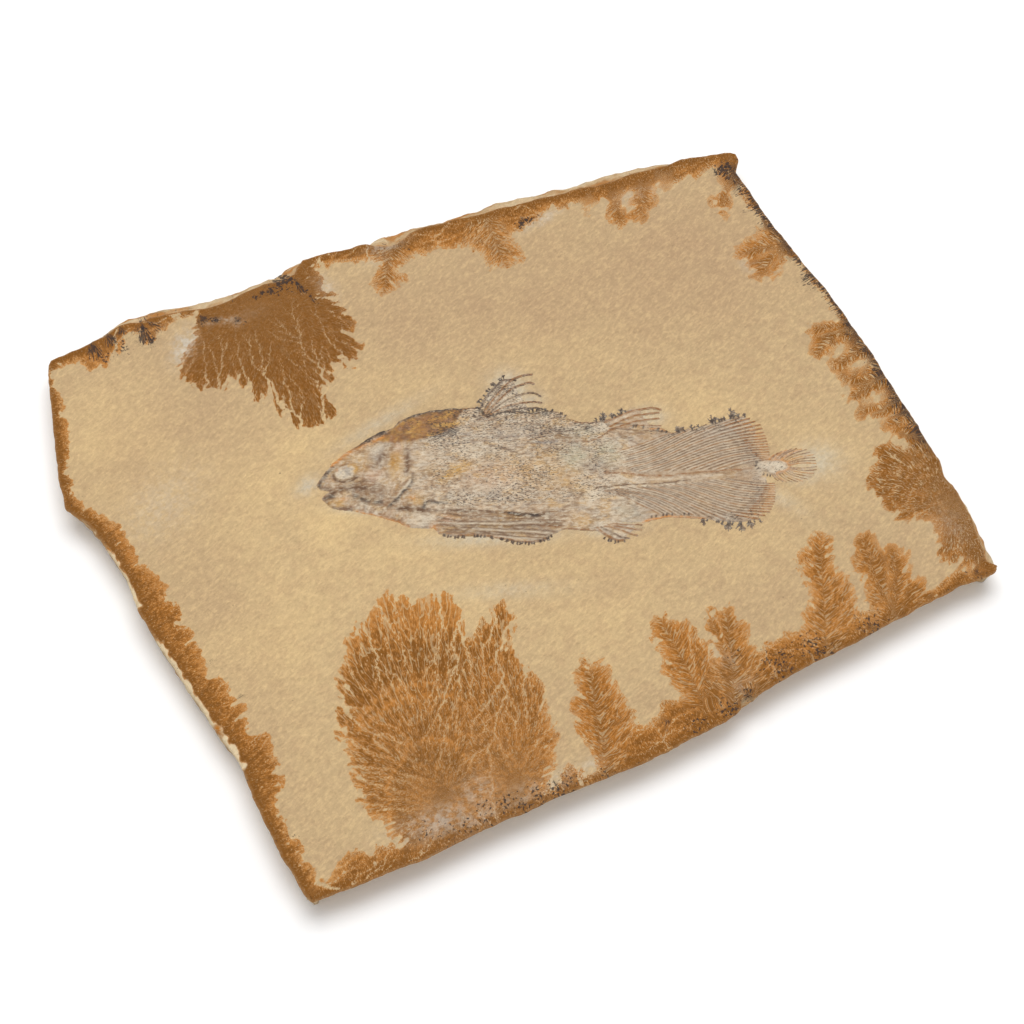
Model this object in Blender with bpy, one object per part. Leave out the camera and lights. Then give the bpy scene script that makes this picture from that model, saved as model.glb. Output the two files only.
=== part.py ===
"""Fossil fish slab.

A broken plate of fine limestone lies flat on its lower bed. A coelacanth, pressed to a low relief,
lies in a shallow hollow in the upper bed and stands a little proud of it.

Lengths are in millimetres until they reach a mesh. The slab is drawn in its own plan, +X along its
long edges. The fish is drawn in a frame of its own, from the snout towards the tail, with its back
at +Y, and is then laid on the slab.
"""

import math

import bmesh
import bpy
import numpy as np
from mathutils import Vector

MM = 0.001

# ---- The stone ---------------------------------------------------------------------------------

THICKNESS = 18.0
EDGE_STEP = 11.0          # longest run between two corners of the rim
BED_CELL = 22.0          # spacing of the cuts that let the upper bed swell
BED_SWELL = 0.35         # height of the swell of the upper bed
CORNER_REACH = 26.0      # length of rim over which the outward direction is averaged
WALL_ROUGHNESS = 0.9     # how far the broken wall wanders in and out

# The rim of the upper bed, clockwise from the far left corner. Each row is x, y, how far a lower
# ledge stands out beyond the rim there, and how far the lower bed lies in under it.
FAR_RIM = (
    (-200.5, 174.5, 0, 4), (-190.5, 176, 0, 4), (-181.5, 176.5, 0, 4), (-167, 177.5, 4, 3),
    (-161.5, 180.5, 4, 3), (-156.5, 181.5, 5, 3), (-150.5, 181, 7, 3), (-147, 179, 7, 3),
    (-139, 179, 6.5, 3), (-120, 175.5, 6.5, 3), (-107.5, 171.5, 8.5, 3), (-93, 171.5, 7, 3),
    (-71.5, 173.5, 5, 3), (-63.5, 172, 7, 3), (-53.5, 173, 9, 3), (-50.5, 177, 6, 3),
    (-45.5, 180.5, 2, 3), (-34, 179.5, 0, 4), (-7.5, 176, 0, 4), (-4.5, 174, 6, 3),
    (-1.5, 171, 9.5, 3), (4, 169, 11, 3), (9.5, 169, 10.5, 3), (19, 173, 6, 3),
    (29.5, 173, 4, 3), (47, 170.5, 4.5, 3), (63.5, 168, 6, 3), (72.5, 167, 8, 3),
    (83.5, 165.5, 8, 3), (96.5, 164, 6, 3), (107.5, 161.5, 8.5, 3), (117, 161.5, 5.5, 3),
    (131, 158.5, 8.5, 3), (143, 157.5, 9, 3), (153, 158.5, 6.5, 3), (176, 155, 5, 3),
    (185.5, 155.5, 0, 4), (199, 152, 2, 3), (214, 148.5, 0, 4),
)
RIGHT_RIM = (
    (216.5, 146, 0, 5), (216, 141, 0, 5), (213.5, 137, 0, 5), (211, 133.5, 0, 5),
    (211.5, 121, 0, 5), (213, 88.5, 0, 5), (215.5, 71, 0, 5), (219.5, 37.5, 0, 5),
    (221.5, 9, 0, 5), (223, -12.5, 0, 5), (222.5, -44.5, 0, 5), (223, -78, 0, 4),
    (223, -89, 1, 4), (220.5, -99, 2, 3), (222, -110.5, 2.5, 3), (221, -129, 2.5, 3),
    (217.5, -145.5, 3.5, 3), (214.5, -155, 5.5, 3),
)
NEAR_RIM = (
    (218.5, -160, 2, 5), (216, -163, 0, 8), (207, -164, 0, 11), (193.5, -163, 0, 11),
    (175.5, -165, 0, 11), (135.5, -169.5, 0, 11), (101.5, -171.5, 0, 11), (71.5, -175, 0, 11),
    (64.5, -176.5, 2, 9), (62.5, -174, 4, 7), (58, -174.5, 5, 7), (55, -179, 1, 9),
    (45, -182.5, 0, 11), (32, -183, 0, 11), (12.5, -185, 0, 11), (-10.5, -186, 0, 11),
    (-52, -185, 0, 11), (-93.5, -185.5, 0, 11), (-130, -188, 0, 11), (-160.5, -187, 0, 10),
    (-189, -186.5, 0, 7),
)
LEFT_RIM = (
    (-190, -183, 0, 4), (-191.5, -174, 0, 2), (-192, -166, 0, 2), (-193.5, -157.5, 0, 6),
    (-194.5, -133, 0, 7), (-194.5, -116, 0, 6), (-194, -99, 0, 3), (-198, -77.5, 0, 2),
    (-201.5, -57, 0, 2), (-205.5, -34.5, 0, 2), (-208.5, -13.5, 0, 2), (-210.5, 2.5, 0, 5),
    (-210, 27.5, 0, 2), (-212.5, 44.5, 0, 2), (-217, 65.5, 0, 3), (-225, 79.5, 0, 7),
    (-222.5, 98.5, 0, 8), (-213, 136.5, 0, 8), (-207, 159, 0, 8), (-203, 172, 0, 6),
)

# The broken wall, from the lower bed up: height, share of the undercut, share of the ledge, inset
# that rounds the rim, and share of the roughness.
WALL = (
    (0.0, 1.00, 0.00, 0.0, 0.0),
    (4.0, 0.82, 0.10, 0.0, 1.0),
    (9.5, 0.48, 0.70, 0.0, 0.8),
    (12.6, 0.30, 1.00, 0.0, 0.0),
    (13.6, 0.24, 0.80, 0.0, 0.0),
    (14.2, 0.20, 0.12, 0.0, 0.0),
    (16.7, 0.05, 0.00, 0.0, 0.0),
    (17.6, 0.00, 0.00, 0.5, 0.0),
    (THICKNESS, 0.00, 0.00, 1.8, 0.0),
)

# ---- The fish ----------------------------------------------------------------------------------

SNOUT_AT = (-95.0, 37.5)     # where the snout lies on the slab
FISH_TURN = -21.5            # degrees from +X to the line from the snout to the tail
HOLLOW_DEPTH = 2.0           # depth of the hollow that the fish lies in
GAP = 0.35                   # clearance between the fish and the stone
FISH_FLOOR = THICKNESS - HOLLOW_DEPTH + GAP
EDGE_PROUD = 0.3             # height of the fish's edge above the upper bed
BODY_COLUMNS = 10

# Body sections: distance from the snout, belly, back, and rise of the flank above the edge.
BODY = (
    (0.0, -3.0, 0.6, 0.3), (2.5, -8.0, 4.2, 0.6), (5.0, -12.5, 8.0, 0.8), (9.5, -15.0, 13.5, 1.0),
    (18.5, -16.5, 20.8, 1.3), (28.5, -20.5, 27.8, 1.5), (36.0, -23.0, 31.5, 1.5),
    (43.0, -25.5, 35.0, 1.3), (47.5, -28.5, 39.2, 1.4), (55.0, -29.8, 42.0, 1.5),
    (63.0, -29.5, 44.2, 1.5), (71.0, -25.5, 45.2, 1.5), (82.0, -23.0, 45.0, 1.5),
    (92.0, -22.5, 44.0, 1.5), (104.0, -24.0, 42.0, 1.4), (116.0, -28.0, 41.8, 1.3),
    (127.0, -33.0, 41.5, 1.2), (134.0, -34.8, 39.5, 1.2), (140.5, -35.2, 35.5, 1.1),
    (146.0, -35.6, 32.4, 1.1), (153.0, -34.5, 31.8, 1.0), (159.0, -32.0, 30.5, 0.9),
    (165.0, -27.0, 25.0, 0.8), (172.0, -19.0, 15.0, 0.7), (182.0, -12.0, 4.0, 0.6),
    (200.0, -9.5, 0.5, 0.5), (225.0, -8.2, 1.0, 0.5), (242.0, -7.0, 2.4, 0.6),
    (251.0, -6.2, 3.2, 0.6), (257.0, -4.4, 1.8, 0.4),
)

# Fins: line of ray roots, line of ray tips, number of rays, sideways bow of the middle ray as a
# share of its length, and height of the fin's root and tip above its edge.
FINS = {
    "first_dorsal": (
        ((89.6, 41.0), (91.5, 37.5), (98.0, 38.5), (106.0, 39.5)),
        ((104.0, 62.0), (120.5, 65.0), (122.0, 59.5), (125.5, 51.0), (125.4, 46.0), (124.4, 40.0)),
        8, 0.07, 0.7, 0.2,
    ),
    "second_dorsal": (
        ((154.0, 31.0), (160.0, 29.5), (162.0, 25.5), (166.0, 15.0)),
        ((181.5, 41.4), (190.6, 38.2), (190.6, 33.9), (190.9, 28.5), (193.0, 23.6), (200.0, 23.2)),
        9, 0.06, 0.6, 0.2,
    ),
    "pectoral": (
        ((59.0, -21.0), (61.0, -27.0), (65.5, -34.3)),
        ((128.0, -26.5), (135.0, -34.5), (127.3, -38.0), (114.0, -42.2)),
        9, 0.02, 0.9, 0.25,
    ),
    "anal": (
        ((147.0, -32.0), (155.0, -31.0), (160.0, -29.0)),
        ((156.6, -43.0), (163.7, -42.6), (169.8, -40.0), (173.3, -36.5), (173.8, -33.5)),
        7, -0.05, 0.6, 0.2,
    ),
    "upper_tail_lobe": (
        ((167.0, 13.0), (175.0, 5.0), (192.0, -2.0), (216.0, -3.0), (240.0, -1.5)),
        ((201.0, 23.0), (212.0, 25.6), (230.0, 31.2), (241.0, 30.8), (247.8, 23.0), (249.0, 12.0),
         (248.6, 4.0)),
        16, 0.07, 0.7, 0.2,
    ),
    "lower_tail_lobe": (
        ((157.0, -31.5), (165.0, -22.0), (176.0, -12.0), (192.0, -7.0), (216.0, -6.0),
         (240.0, -4.5)),
        ((176.0, -32.6), (196.0, -30.2), (220.0, -34.4), (238.0, -34.8), (246.5, -27.0),
         (249.4, -18.5), (249.8, -11.5)),
        16, -0.07, 0.7, 0.2,
    ),
    "tail_tuft": (
        ((246.0, 1.8), (252.0, 2.4), (256.5, 0.8), (258.0, -1.7), (256.5, -4.0), (251.0, -5.5),
         (245.0, -5.2)),
        ((253.5, 7.4), (261.3, 9.6), (269.7, 8.6), (274.0, 3.0), (274.0, -4.5), (269.8, -9.8),
         (262.0, -11.8), (252.8, -11.2)),
        12, 0.0, 0.5, 0.2,
    ),
}
FIN_ROWS = 4                 # sections along a ray
RAY_RIDGE = 0.4              # height of a ray above the skin between two rays

# Skull plates, as flattened domes: centre, half length, half width, degrees, height above the edge.
SKULL_PLATES = (
    (15.5, 6.6, 7.2, 5.6, 12.0, 2.1),
    (35.0, 15.0, 7.5, 6.0, 60.0, 2.3),
    (43.0, 8.0, 9.5, 4.6, 88.0, 2.2),
    (30.5, -6.0, 8.5, 5.0, 15.0, 2.1),
)

# Raised lines, as rounded welts: points along the line, and half width.
WELTS = (
    (((7.0, -5.0), (10.5, -3.0), (18.5, -2.2), (25.0, -0.6)), 1.0),
    (((3.5, -10.0), (10.0, -9.5), (20.0, -11.0), (31.0, -14.5), (38.0, -15.6)), 1.2),
    (((50.5, 20.0), (52.2, 11.0), (52.8, 2.0), (49.5, -6.5), (45.5, -11.0), (40.0, -15.0)), 1.5),
    (((44.0, -17.8), (51.0, -18.4), (59.0, -18.0), (66.5, -19.5), (86.0, -21.4), (108.0, -24.0),
      (120.0, -27.5), (128.5, -24.5), (138.0, -20.8)), 1.2),
    (((155.0, -10.0), (167.0, -8.6), (184.0, -8.2), (205.0, -7.2), (238.0, -5.6)), 0.9),
    (((170.0, -2.0), (188.0, -4.0), (210.0, -2.4), (238.0, -0.6)), 0.9),
)
WELT_LIFT = 1.1              # height of a welt's middle line above the upper bed


# ---- Plain geometry ----------------------------------------------------------------------------

def along(points, places):
    """Points at the given shares, 0 to 1, of a polyline's length."""
    points = np.array(points, float)
    run = np.concatenate(([0.0], np.cumsum(np.linalg.norm(np.diff(points, axis=0), axis=1))))
    where = np.asarray(places) * run[-1]
    return np.stack([np.interp(where, run, column) for column in points.T], axis=-1)


def grown(outline, distance):
    """A closed anticlockwise outline moved outwards, with mitred corners."""
    before = outline - np.roll(outline, 1, axis=0)
    after = np.roll(outline, -1, axis=0) - outline
    before /= np.linalg.norm(before, axis=1, keepdims=True)
    after /= np.linalg.norm(after, axis=1, keepdims=True)
    normal = np.stack([before[:, 1] + after[:, 1], -before[:, 0] - after[:, 0]], axis=1)
    square = np.maximum(np.sum(normal * normal, axis=1, keepdims=True), 0.8)
    return outline + normal * 2.0 * distance / square


def bed_height(x, y):
    """The upper bed above the lower: two crossed waves and a third across them."""
    crossed = np.sin(x / 31.0 + 1.3) * np.cos(y / 43.0 - 0.7)
    across = 0.6 * np.sin((x + y) / 57.0 + 2.1)
    return THICKNESS + BED_SWELL * (crossed + across)


def to_slab(points):
    """Fish coordinates turned and moved on to the slab's plan."""
    turn = math.radians(FISH_TURN)
    points = np.asarray(points, float)
    x = points[..., 0] * math.cos(turn) - points[..., 1] * math.sin(turn) + SNOUT_AT[0]
    y = points[..., 0] * math.sin(turn) + points[..., 1] * math.cos(turn) + SNOUT_AT[1]
    return x, y


# ---- Scene helpers -----------------------------------------------------------------------------

def clear_scene():
    """Remove every object that a new scene starts with."""
    for item in list(bpy.data.objects):
        bpy.data.objects.remove(item, do_unlink=True)


def new_collection(name):
    """A collection linked to the scene."""
    group = bpy.data.collections.new(name)
    bpy.context.scene.collection.children.link(group)
    return group


def stone_material(name, colour, roughness):
    """A plain matt stone."""
    material = bpy.data.materials.new(name)
    material.use_nodes = True
    shader = material.node_tree.nodes["Principled BSDF"]
    shader.inputs["Base Color"].default_value = (*colour, 1.0)
    shader.inputs["Roughness"].default_value = roughness
    shader.inputs["Metallic"].default_value = 0.0
    return material


def add_object(name, bm, group, hidden=False):
    """A mesh object in metres from a bmesh in millimetres."""
    bmesh.ops.scale(bm, vec=(MM, MM, MM), verts=bm.verts)
    bmesh.ops.recalc_face_normals(bm, faces=bm.faces)
    mesh = bpy.data.meshes.new(name)
    bm.to_mesh(mesh)
    bm.free()
    item = bpy.data.objects.new(name, mesh)
    group.objects.link(item)
    if hidden:
        item.hide_render = True
        item.display_type = "WIRE"
    return item


def combine(item, group, operation):
    """Join every object of a group to the item, or cut them out of it."""
    modifier = item.modifiers.new(operation.title(), "BOOLEAN")
    modifier.operand_type = "COLLECTION"
    modifier.collection = group
    modifier.operation = operation
    modifier.solver = "EXACT"


# ---- The stone ---------------------------------------------------------------------------------

def rim_rows():
    """The rim, anticlockwise, with further points wherever two corners lie far apart."""
    rows = np.array(FAR_RIM + RIGHT_RIM + NEAR_RIM + LEFT_RIM, float)[::-1]
    dense = []
    for here, there in zip(rows, np.roll(rows, -1, axis=0)):
        parts = math.ceil(np.linalg.norm((there - here)[:2]) / EDGE_STEP)
        for step in range(parts):
            dense.append(here + (there - here) * step / parts)
    return np.array(dense)


def outward_directions(outline):
    """Unit directions out of the rim, averaged over a reach so that corners fan out evenly."""
    edge = np.roll(outline, -1, axis=0) - outline
    length = np.linalg.norm(edge, axis=1)
    middle = np.cumsum(length) - length / 2
    whole = length.sum()
    start = np.cumsum(length) - length
    apart = np.abs(start[:, None] - middle[None, :])
    apart = np.minimum(apart, whole - apart)
    weight = np.clip(1.0 - apart / CORNER_REACH, 0.0, None)
    normal = np.stack([edge[:, 1], -edge[:, 0]], axis=1)
    out = weight @ normal
    return out / np.linalg.norm(out, axis=1, keepdims=True)


def wall_wander(count, level):
    """A smooth unevenness round the wall, different at each level."""
    turn = np.arange(count) / count * 2 * math.pi
    return (np.sin(23 * turn + 1.7 * level) + np.sin(37 * turn + 2.9 * level)
            + 0.7 * np.sin(61 * turn + 0.6 * level)) / 2.7


def stone_rings():
    """The rings of points that the wall is lofted through, from the lower bed to the rim."""
    rows = rim_rows()
    outline, ledge, undercut = rows[:, :2], rows[:, 2], rows[:, 3]
    out = outward_directions(outline)
    rings = []
    for level, (height, under_share, ledge_share, inset, rough) in enumerate(WALL):
        reach = ledge * ledge_share - undercut * under_share - inset
        reach = reach + rough * WALL_ROUGHNESS * wall_wander(len(rows), level)
        plan = outline + out * reach[:, None]
        rings.append([(x, y, height) for x, y in plan])
    return rings


def loft(bm, rings):
    """A closed solid through rings of equally many points, with a flat face at each end."""
    levels = [[bm.verts.new(point) for point in ring] for ring in rings]
    for lower, upper in zip(levels, levels[1:]):
        for index in range(len(lower)):
            after = (index + 1) % len(lower)
            bm.faces.new((lower[index], lower[after], upper[after], upper[index]))
    bm.faces.new(levels[0][::-1])
    return bm.faces.new(levels[-1])


def cut_grid(bm, face, cell):
    """Cut a face along evenly spaced lines in X and in Y."""
    pieces = {face}
    corners = np.array([vert.co[:2] for vert in face.verts])
    for axis in range(2):
        low, high = corners[:, axis].min(), corners[:, axis].max()
        for place in np.arange(low + cell, high - cell / 2, cell):
            normal = Vector((0, 0, 0))
            normal[axis] = 1.0
            parts = set(pieces)
            for piece in pieces:
                parts.update(piece.edges)
                parts.update(piece.verts)
            done = bmesh.ops.bisect_plane(bm, geom=list(parts), dist=0.001,
                                          plane_co=normal * place, plane_no=normal)
            pieces = {item for item in done["geom"] if isinstance(item, bmesh.types.BMFace)}
    return {vert for piece in pieces for vert in piece.verts}


def make_slab(group, hollows, material):
    """The plate of stone, with the hollow cut into its upper bed."""
    bm = bmesh.new()
    top = loft(bm, stone_rings())
    rim = set(top.verts)
    for vert in cut_grid(bm, top, BED_CELL) - rim:
        if len([face for face in vert.link_faces if abs(face.normal.z) < 0.5]) == 0:
            vert.co.z = float(bed_height(vert.co.x, vert.co.y))
    slab = add_object("slab", bm, group)
    slab.data.materials.append(material)
    combine(slab, hollows, "DIFFERENCE")
    return slab


# ---- The fish ----------------------------------------------------------------------------------

def relief_solid(name, surface, group):
    """A solid under a grid of surface points, its sides dropped to the fish's flat underside."""
    bm = bmesh.new()
    rows, columns = surface.shape[:2]
    x, y = to_slab(surface)
    verts = [[bm.verts.new((x[r, c], y[r, c], surface[r, c, 2])) for c in range(columns)]
             for r in range(rows)]
    for r in range(rows - 1):
        for c in range(columns - 1):
            bm.faces.new((verts[r][c], verts[r + 1][c], verts[r + 1][c + 1], verts[r][c + 1]))
    border = [edge for edge in bm.edges if edge.is_boundary]
    skirt = bmesh.ops.extrude_edge_only(bm, edges=border)["geom"]
    for item in skirt:
        if isinstance(item, bmesh.types.BMVert):
            item.co.z = FISH_FLOOR
    underside = [edge for edge in bm.edges if edge.is_boundary]
    bmesh.ops.contextual_create(bm, geom=underside)
    return add_object(name, bm, group, hidden=True)


def hollow_under(name, surface, group):
    """The clearance round a part's outline, from the floor of the hollow to well above the bed."""
    edge = np.concatenate((surface[:-1, 0], surface[-1, :-1], surface[:0:-1, -1],
                           surface[0, :0:-1]))[:, :2]
    ahead = np.roll(edge, -1, axis=0)
    if np.sum(edge[:, 0] * ahead[:, 1] - edge[:, 1] * ahead[:, 0]) < 0:
        edge = edge[::-1]
    x, y = to_slab(grown(edge, GAP))
    bm = bmesh.new()
    floor = bm.faces.new([bm.verts.new((a, b, THICKNESS - HOLLOW_DEPTH)) for a, b in zip(x, y)])
    walls = bmesh.ops.extrude_face_region(bm, geom=[floor])["geom"]
    lifted = [item for item in walls if isinstance(item, bmesh.types.BMVert)]
    bmesh.ops.translate(bm, verts=lifted, vec=(0, 0, 2 * HOLLOW_DEPTH + 4.0))
    return add_object(name, bm, group, hidden=True)


def body_surface():
    """The flank: across each section the height follows a flattened arch."""
    share = np.linspace(-1.0, 1.0, BODY_COLUMNS)
    arch = (1.0 - share ** 4) * (1.0 - 0.25 * share ** 2)
    sections = []
    for place, belly, back, rise in BODY:
        width = (belly + back) / 2 + share * (back - belly) / 2
        height = THICKNESS + EDGE_PROUD + rise * arch
        sections.append(np.stack([np.full_like(share, place), width, height], axis=1))
    return np.array(sections)


def fin_surface(roots, tips, rays, bow, root_height, tip_height):
    """A fan of rays: each runs from root to tip along a bowed line, with a groove on either side."""
    columns = np.linspace(0.0, 1.0, 2 * rays + 1)
    ridge = np.where(np.arange(2 * rays + 1) % 2 == 1, RAY_RIDGE, 0.0)
    start, end = along(roots, columns), along(tips, columns)
    line = end - start
    side = np.stack([-line[:, 1], line[:, 0]], axis=1)
    sections = []
    bend = (bow * np.sin(math.pi * columns))[:, None]
    for share in np.linspace(0.0, 1.0, FIN_ROWS):
        plan = start + line * share + side * bend * 4.0 * share * (1.0 - share)
        height = root_height + (tip_height - root_height) * share + ridge
        sections.append(np.column_stack([plan, THICKNESS + EDGE_PROUD + height]))
    return np.array(sections)


def skull_plate(name, centre, half_length, half_width, degrees, height, group):
    """A low dome of bone, as a flattened ball sunk in the head."""
    bm = bmesh.new()
    bmesh.ops.create_uvsphere(bm, u_segments=12, v_segments=6, radius=1.0)
    bmesh.ops.scale(bm, vec=(half_length, half_width, height), verts=bm.verts)
    turn = math.radians(degrees + FISH_TURN)
    for vert in bm.verts:
        x, y = vert.co.x, vert.co.y
        vert.co.x = x * math.cos(turn) - y * math.sin(turn)
        vert.co.y = x * math.sin(turn) + y * math.cos(turn)
        vert.co.z = max(vert.co.z, -0.5)
    x, y = to_slab(np.array(centre))
    bmesh.ops.translate(bm, verts=bm.verts, vec=(float(x), float(y), THICKNESS))
    return add_object(name, bm, group, hidden=True)


def welt(name, points, half_width, group):
    """A raised line, as a tube sunk in the fish along a smooth run through the points."""
    data = bpy.data.curves.new(name, "CURVE")
    data.dimensions = "3D"
    data.bevel_depth = half_width * MM
    data.bevel_resolution = 0
    data.use_fill_caps = True
    run = along(points, np.linspace(0.0, 1.0, 2 * len(points)))
    run[1:-1] = (run[:-2] + 2 * run[1:-1] + run[2:]) / 4
    x, y = to_slab(run)
    spline = data.splines.new("POLY")
    spline.points.add(len(run) - 1)
    lift = THICKNESS + WELT_LIFT
    for point, place_x, place_y in zip(spline.points, x, y):
        point.co = (place_x * MM, place_y * MM, lift * MM, 1.0)
    guide = bpy.data.objects.new(name, data)
    group.objects.link(guide)
    bpy.context.view_layer.update()
    solid = bpy.data.meshes.new_from_object(guide.evaluated_get(
        bpy.context.evaluated_depsgraph_get()))
    bpy.data.objects.remove(guide, do_unlink=True)
    bm = bmesh.new()
    bm.from_mesh(solid)
    bpy.data.meshes.remove(solid)
    bmesh.ops.remove_doubles(bm, verts=bm.verts, dist=1e-6)
    bmesh.ops.scale(bm, vec=(1 / MM,) * 3, verts=bm.verts)
    return add_object(name, bm, group, hidden=True)


def make_fish(group, parts, hollows, material):
    """The fish: body, fins, skull plates and welts joined into one solid."""
    surface = body_surface()
    hollow_under("body_hollow", surface, hollows)
    body = relief_solid("fish", surface, group)
    body.hide_render = False
    body.display_type = "TEXTURED"
    body.data.materials.append(material)
    for name, fin in FINS.items():
        surface = fin_surface(*fin)
        relief_solid(name, surface, parts)
        hollow_under(name + "_hollow", surface, hollows)
    for number, (x, y, half_length, half_width, degrees, height) in enumerate(SKULL_PLATES):
        skull_plate(f"skull_plate_{number}", (x, y), half_length, half_width, degrees, height, parts)
    for number, (points, half_width) in enumerate(WELTS):
        welt(f"welt_{number}", points, half_width, parts)
    combine(body, parts, "UNION")
    return body


def main():
    """Build the slab and the fish in it."""
    clear_scene()
    model = new_collection("fossil_fish_slab")
    parts = new_collection("fish_parts")
    hollows = new_collection("hollow_cutters")
    limestone = stone_material("limestone", (0.62, 0.45, 0.24), 0.8)
    bone = stone_material("fossil_bone", (0.40, 0.29, 0.19), 0.7)
    make_fish(model, parts, hollows, bone)
    make_slab(model, hollows, limestone)


main()
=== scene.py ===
"""Fossil fish slab: the looks of the limestone plate and of the fish that lies in it.

Shapes are worked out in millimetres, in the slab's own plan, and are turned into metres where they
become meshes. The fish is worked out in a frame of its own, from the snout towards the tail, with
its back at +V.
"""
import math

import bmesh
import bpy
import numpy as np
from bpy.props import FloatProperty, FloatVectorProperty, IntProperty, PointerProperty
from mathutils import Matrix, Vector


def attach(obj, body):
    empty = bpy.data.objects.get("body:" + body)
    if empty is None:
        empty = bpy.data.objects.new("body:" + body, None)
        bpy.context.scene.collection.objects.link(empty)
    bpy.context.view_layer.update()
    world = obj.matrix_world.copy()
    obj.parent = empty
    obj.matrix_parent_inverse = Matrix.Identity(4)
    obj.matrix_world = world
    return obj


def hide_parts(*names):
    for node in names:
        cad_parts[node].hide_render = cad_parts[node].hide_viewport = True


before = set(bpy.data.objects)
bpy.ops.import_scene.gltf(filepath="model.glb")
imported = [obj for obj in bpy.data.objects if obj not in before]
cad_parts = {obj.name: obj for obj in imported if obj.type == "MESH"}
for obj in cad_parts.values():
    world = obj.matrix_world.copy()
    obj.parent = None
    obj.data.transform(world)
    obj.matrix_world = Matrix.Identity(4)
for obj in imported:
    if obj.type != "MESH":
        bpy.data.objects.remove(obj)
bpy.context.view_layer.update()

bl_info = {
    "name": "Fossil Fish Slab",
    "version": (1, 0, 0),
    "blender": (4, 5, 0),
    "location": "View3D > Sidebar > Fossil",
    "description": "Limestone plate with mineral dendrites and a coelacanth in low relief",
    "category": "Add Mesh",
}

MM = 0.001
TOP = 18.0                       # height of the upper bed


def tint(red, green, blue):
    """A colour given as 8-bit display values, in the linear values that shaders take."""
    share = np.array((red, green, blue), float) / 255.0
    return tuple(np.where(share <= 0.04045, share / 12.92, ((share + 0.055) / 1.055) ** 2.4))


def pairs(*numbers):
    """Points of a line or an outline from their x and y, or U and V, given in turn."""
    return tuple(zip(numbers[::2], numbers[1::2]))


def colour_property(name, description, value):
    """A colour swatch with three channels."""
    return FloatVectorProperty(name=name, description=description, subtype="COLOR", size=3,
                               min=0.0, max=1.0, default=value)


# ---- The plate's outline -----------------------------------------------------------------------

# Clockwise from the far left corner. Each row is x, y, how far a lower ledge stands out beyond the
# rim there, and how far the lower bed lies in under it.
FAR_RIM = (
    (-200.5, 174.5, 0, 4), (-190.5, 176, 0, 4), (-181.5, 176.5, 0, 4), (-167, 177.5, 4, 3),
    (-161.5, 180.5, 4, 3), (-156.5, 181.5, 5, 3), (-150.5, 181, 7, 3), (-147, 179, 7, 3),
    (-139, 179, 6.5, 3), (-130, 177, 7, 3), (-120, 175.5, 6.5, 3), (-107.5, 171.5, 8.5, 3),
    (-93, 171.5, 7, 3), (-83.5, 173, 5.5, 3), (-71.5, 173.5, 5, 3), (-63.5, 172, 7, 3),
    (-58, 172.5, 7.5, 3), (-53.5, 173, 9, 3), (-50.5, 177, 6, 3), (-45.5, 180.5, 2, 3),
    (-34, 179.5, 0, 4), (-16, 177, 0, 4), (-7.5, 176, 0, 4), (-4.5, 174, 6, 3),
    (-1.5, 171, 9.5, 3), (4, 169, 11, 3), (9.5, 169, 10.5, 3), (19, 173, 6, 3), (29.5, 173, 4, 3),
    (38, 171.5, 4.5, 3), (47, 170.5, 4.5, 3), (55, 168.5, 6, 3), (63.5, 168, 6, 3),
    (72.5, 167, 8, 3), (83.5, 165.5, 8, 3), (96.5, 164, 6, 3), (107.5, 161.5, 8.5, 3),
    (117, 161.5, 5.5, 3), (131, 158.5, 8.5, 3), (143, 157.5, 9, 3), (153, 158.5, 6.5, 3),
    (165.5, 156, 6.5, 3), (176, 155, 5, 3), (185.5, 155.5, 0, 4), (199, 152, 2, 3),
    (208, 150, 1.5, 3), (214, 148.5, 0, 4),
)
RIGHT_RIM = (
    (216.5, 146, 0, 5), (216, 141, 0, 5), (213.5, 137, 0, 5), (211, 133.5, 0, 5), (211, 128, 0, 5),
    (211.5, 115, 0, 5), (213, 88.5, 0, 5), (215.5, 71, 0, 5), (216.5, 58, 0, 5),
    (219.5, 37.5, 0, 5), (220, 28, 0, 5), (221.5, 9, 0, 5), (223, -12.5, 0, 5),
    (222.5, -44.5, 0, 5), (223, -67, 0, 5), (223, -78, 0, 4), (223, -89, 1, 4), (220.5, -99, 2, 3),
    (222, -110.5, 2.5, 3), (221, -129, 2.5, 3), (217.5, -145.5, 3.5, 3), (214.5, -155, 5.5, 3),
)
NEAR_RIM = (
    (218.5, -160, 2, 5), (216, -163, 0, 8), (207, -164, 0, 11), (193.5, -163, 0, 11),
    (175.5, -165, 0, 11), (153, -167, 0, 11), (135.5, -169.5, 0, 11), (101.5, -171.5, 0, 11),
    (71.5, -175, 0, 11), (64.5, -176.5, 2, 9), (62.5, -174, 4, 7), (58, -174.5, 5, 7),
    (55, -179, 1, 9), (45, -182.5, 0, 11), (32, -183, 0, 11), (12.5, -185, 0, 11),
    (-10.5, -186, 0, 11), (-28.5, -185.5, 0, 11), (-52, -185, 0, 11), (-65, -186, 0, 11),
    (-93.5, -185.5, 0, 11), (-130, -188, 0, 11), (-160.5, -187, 0, 10), (-189, -186.5, 0, 7),
)
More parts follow.
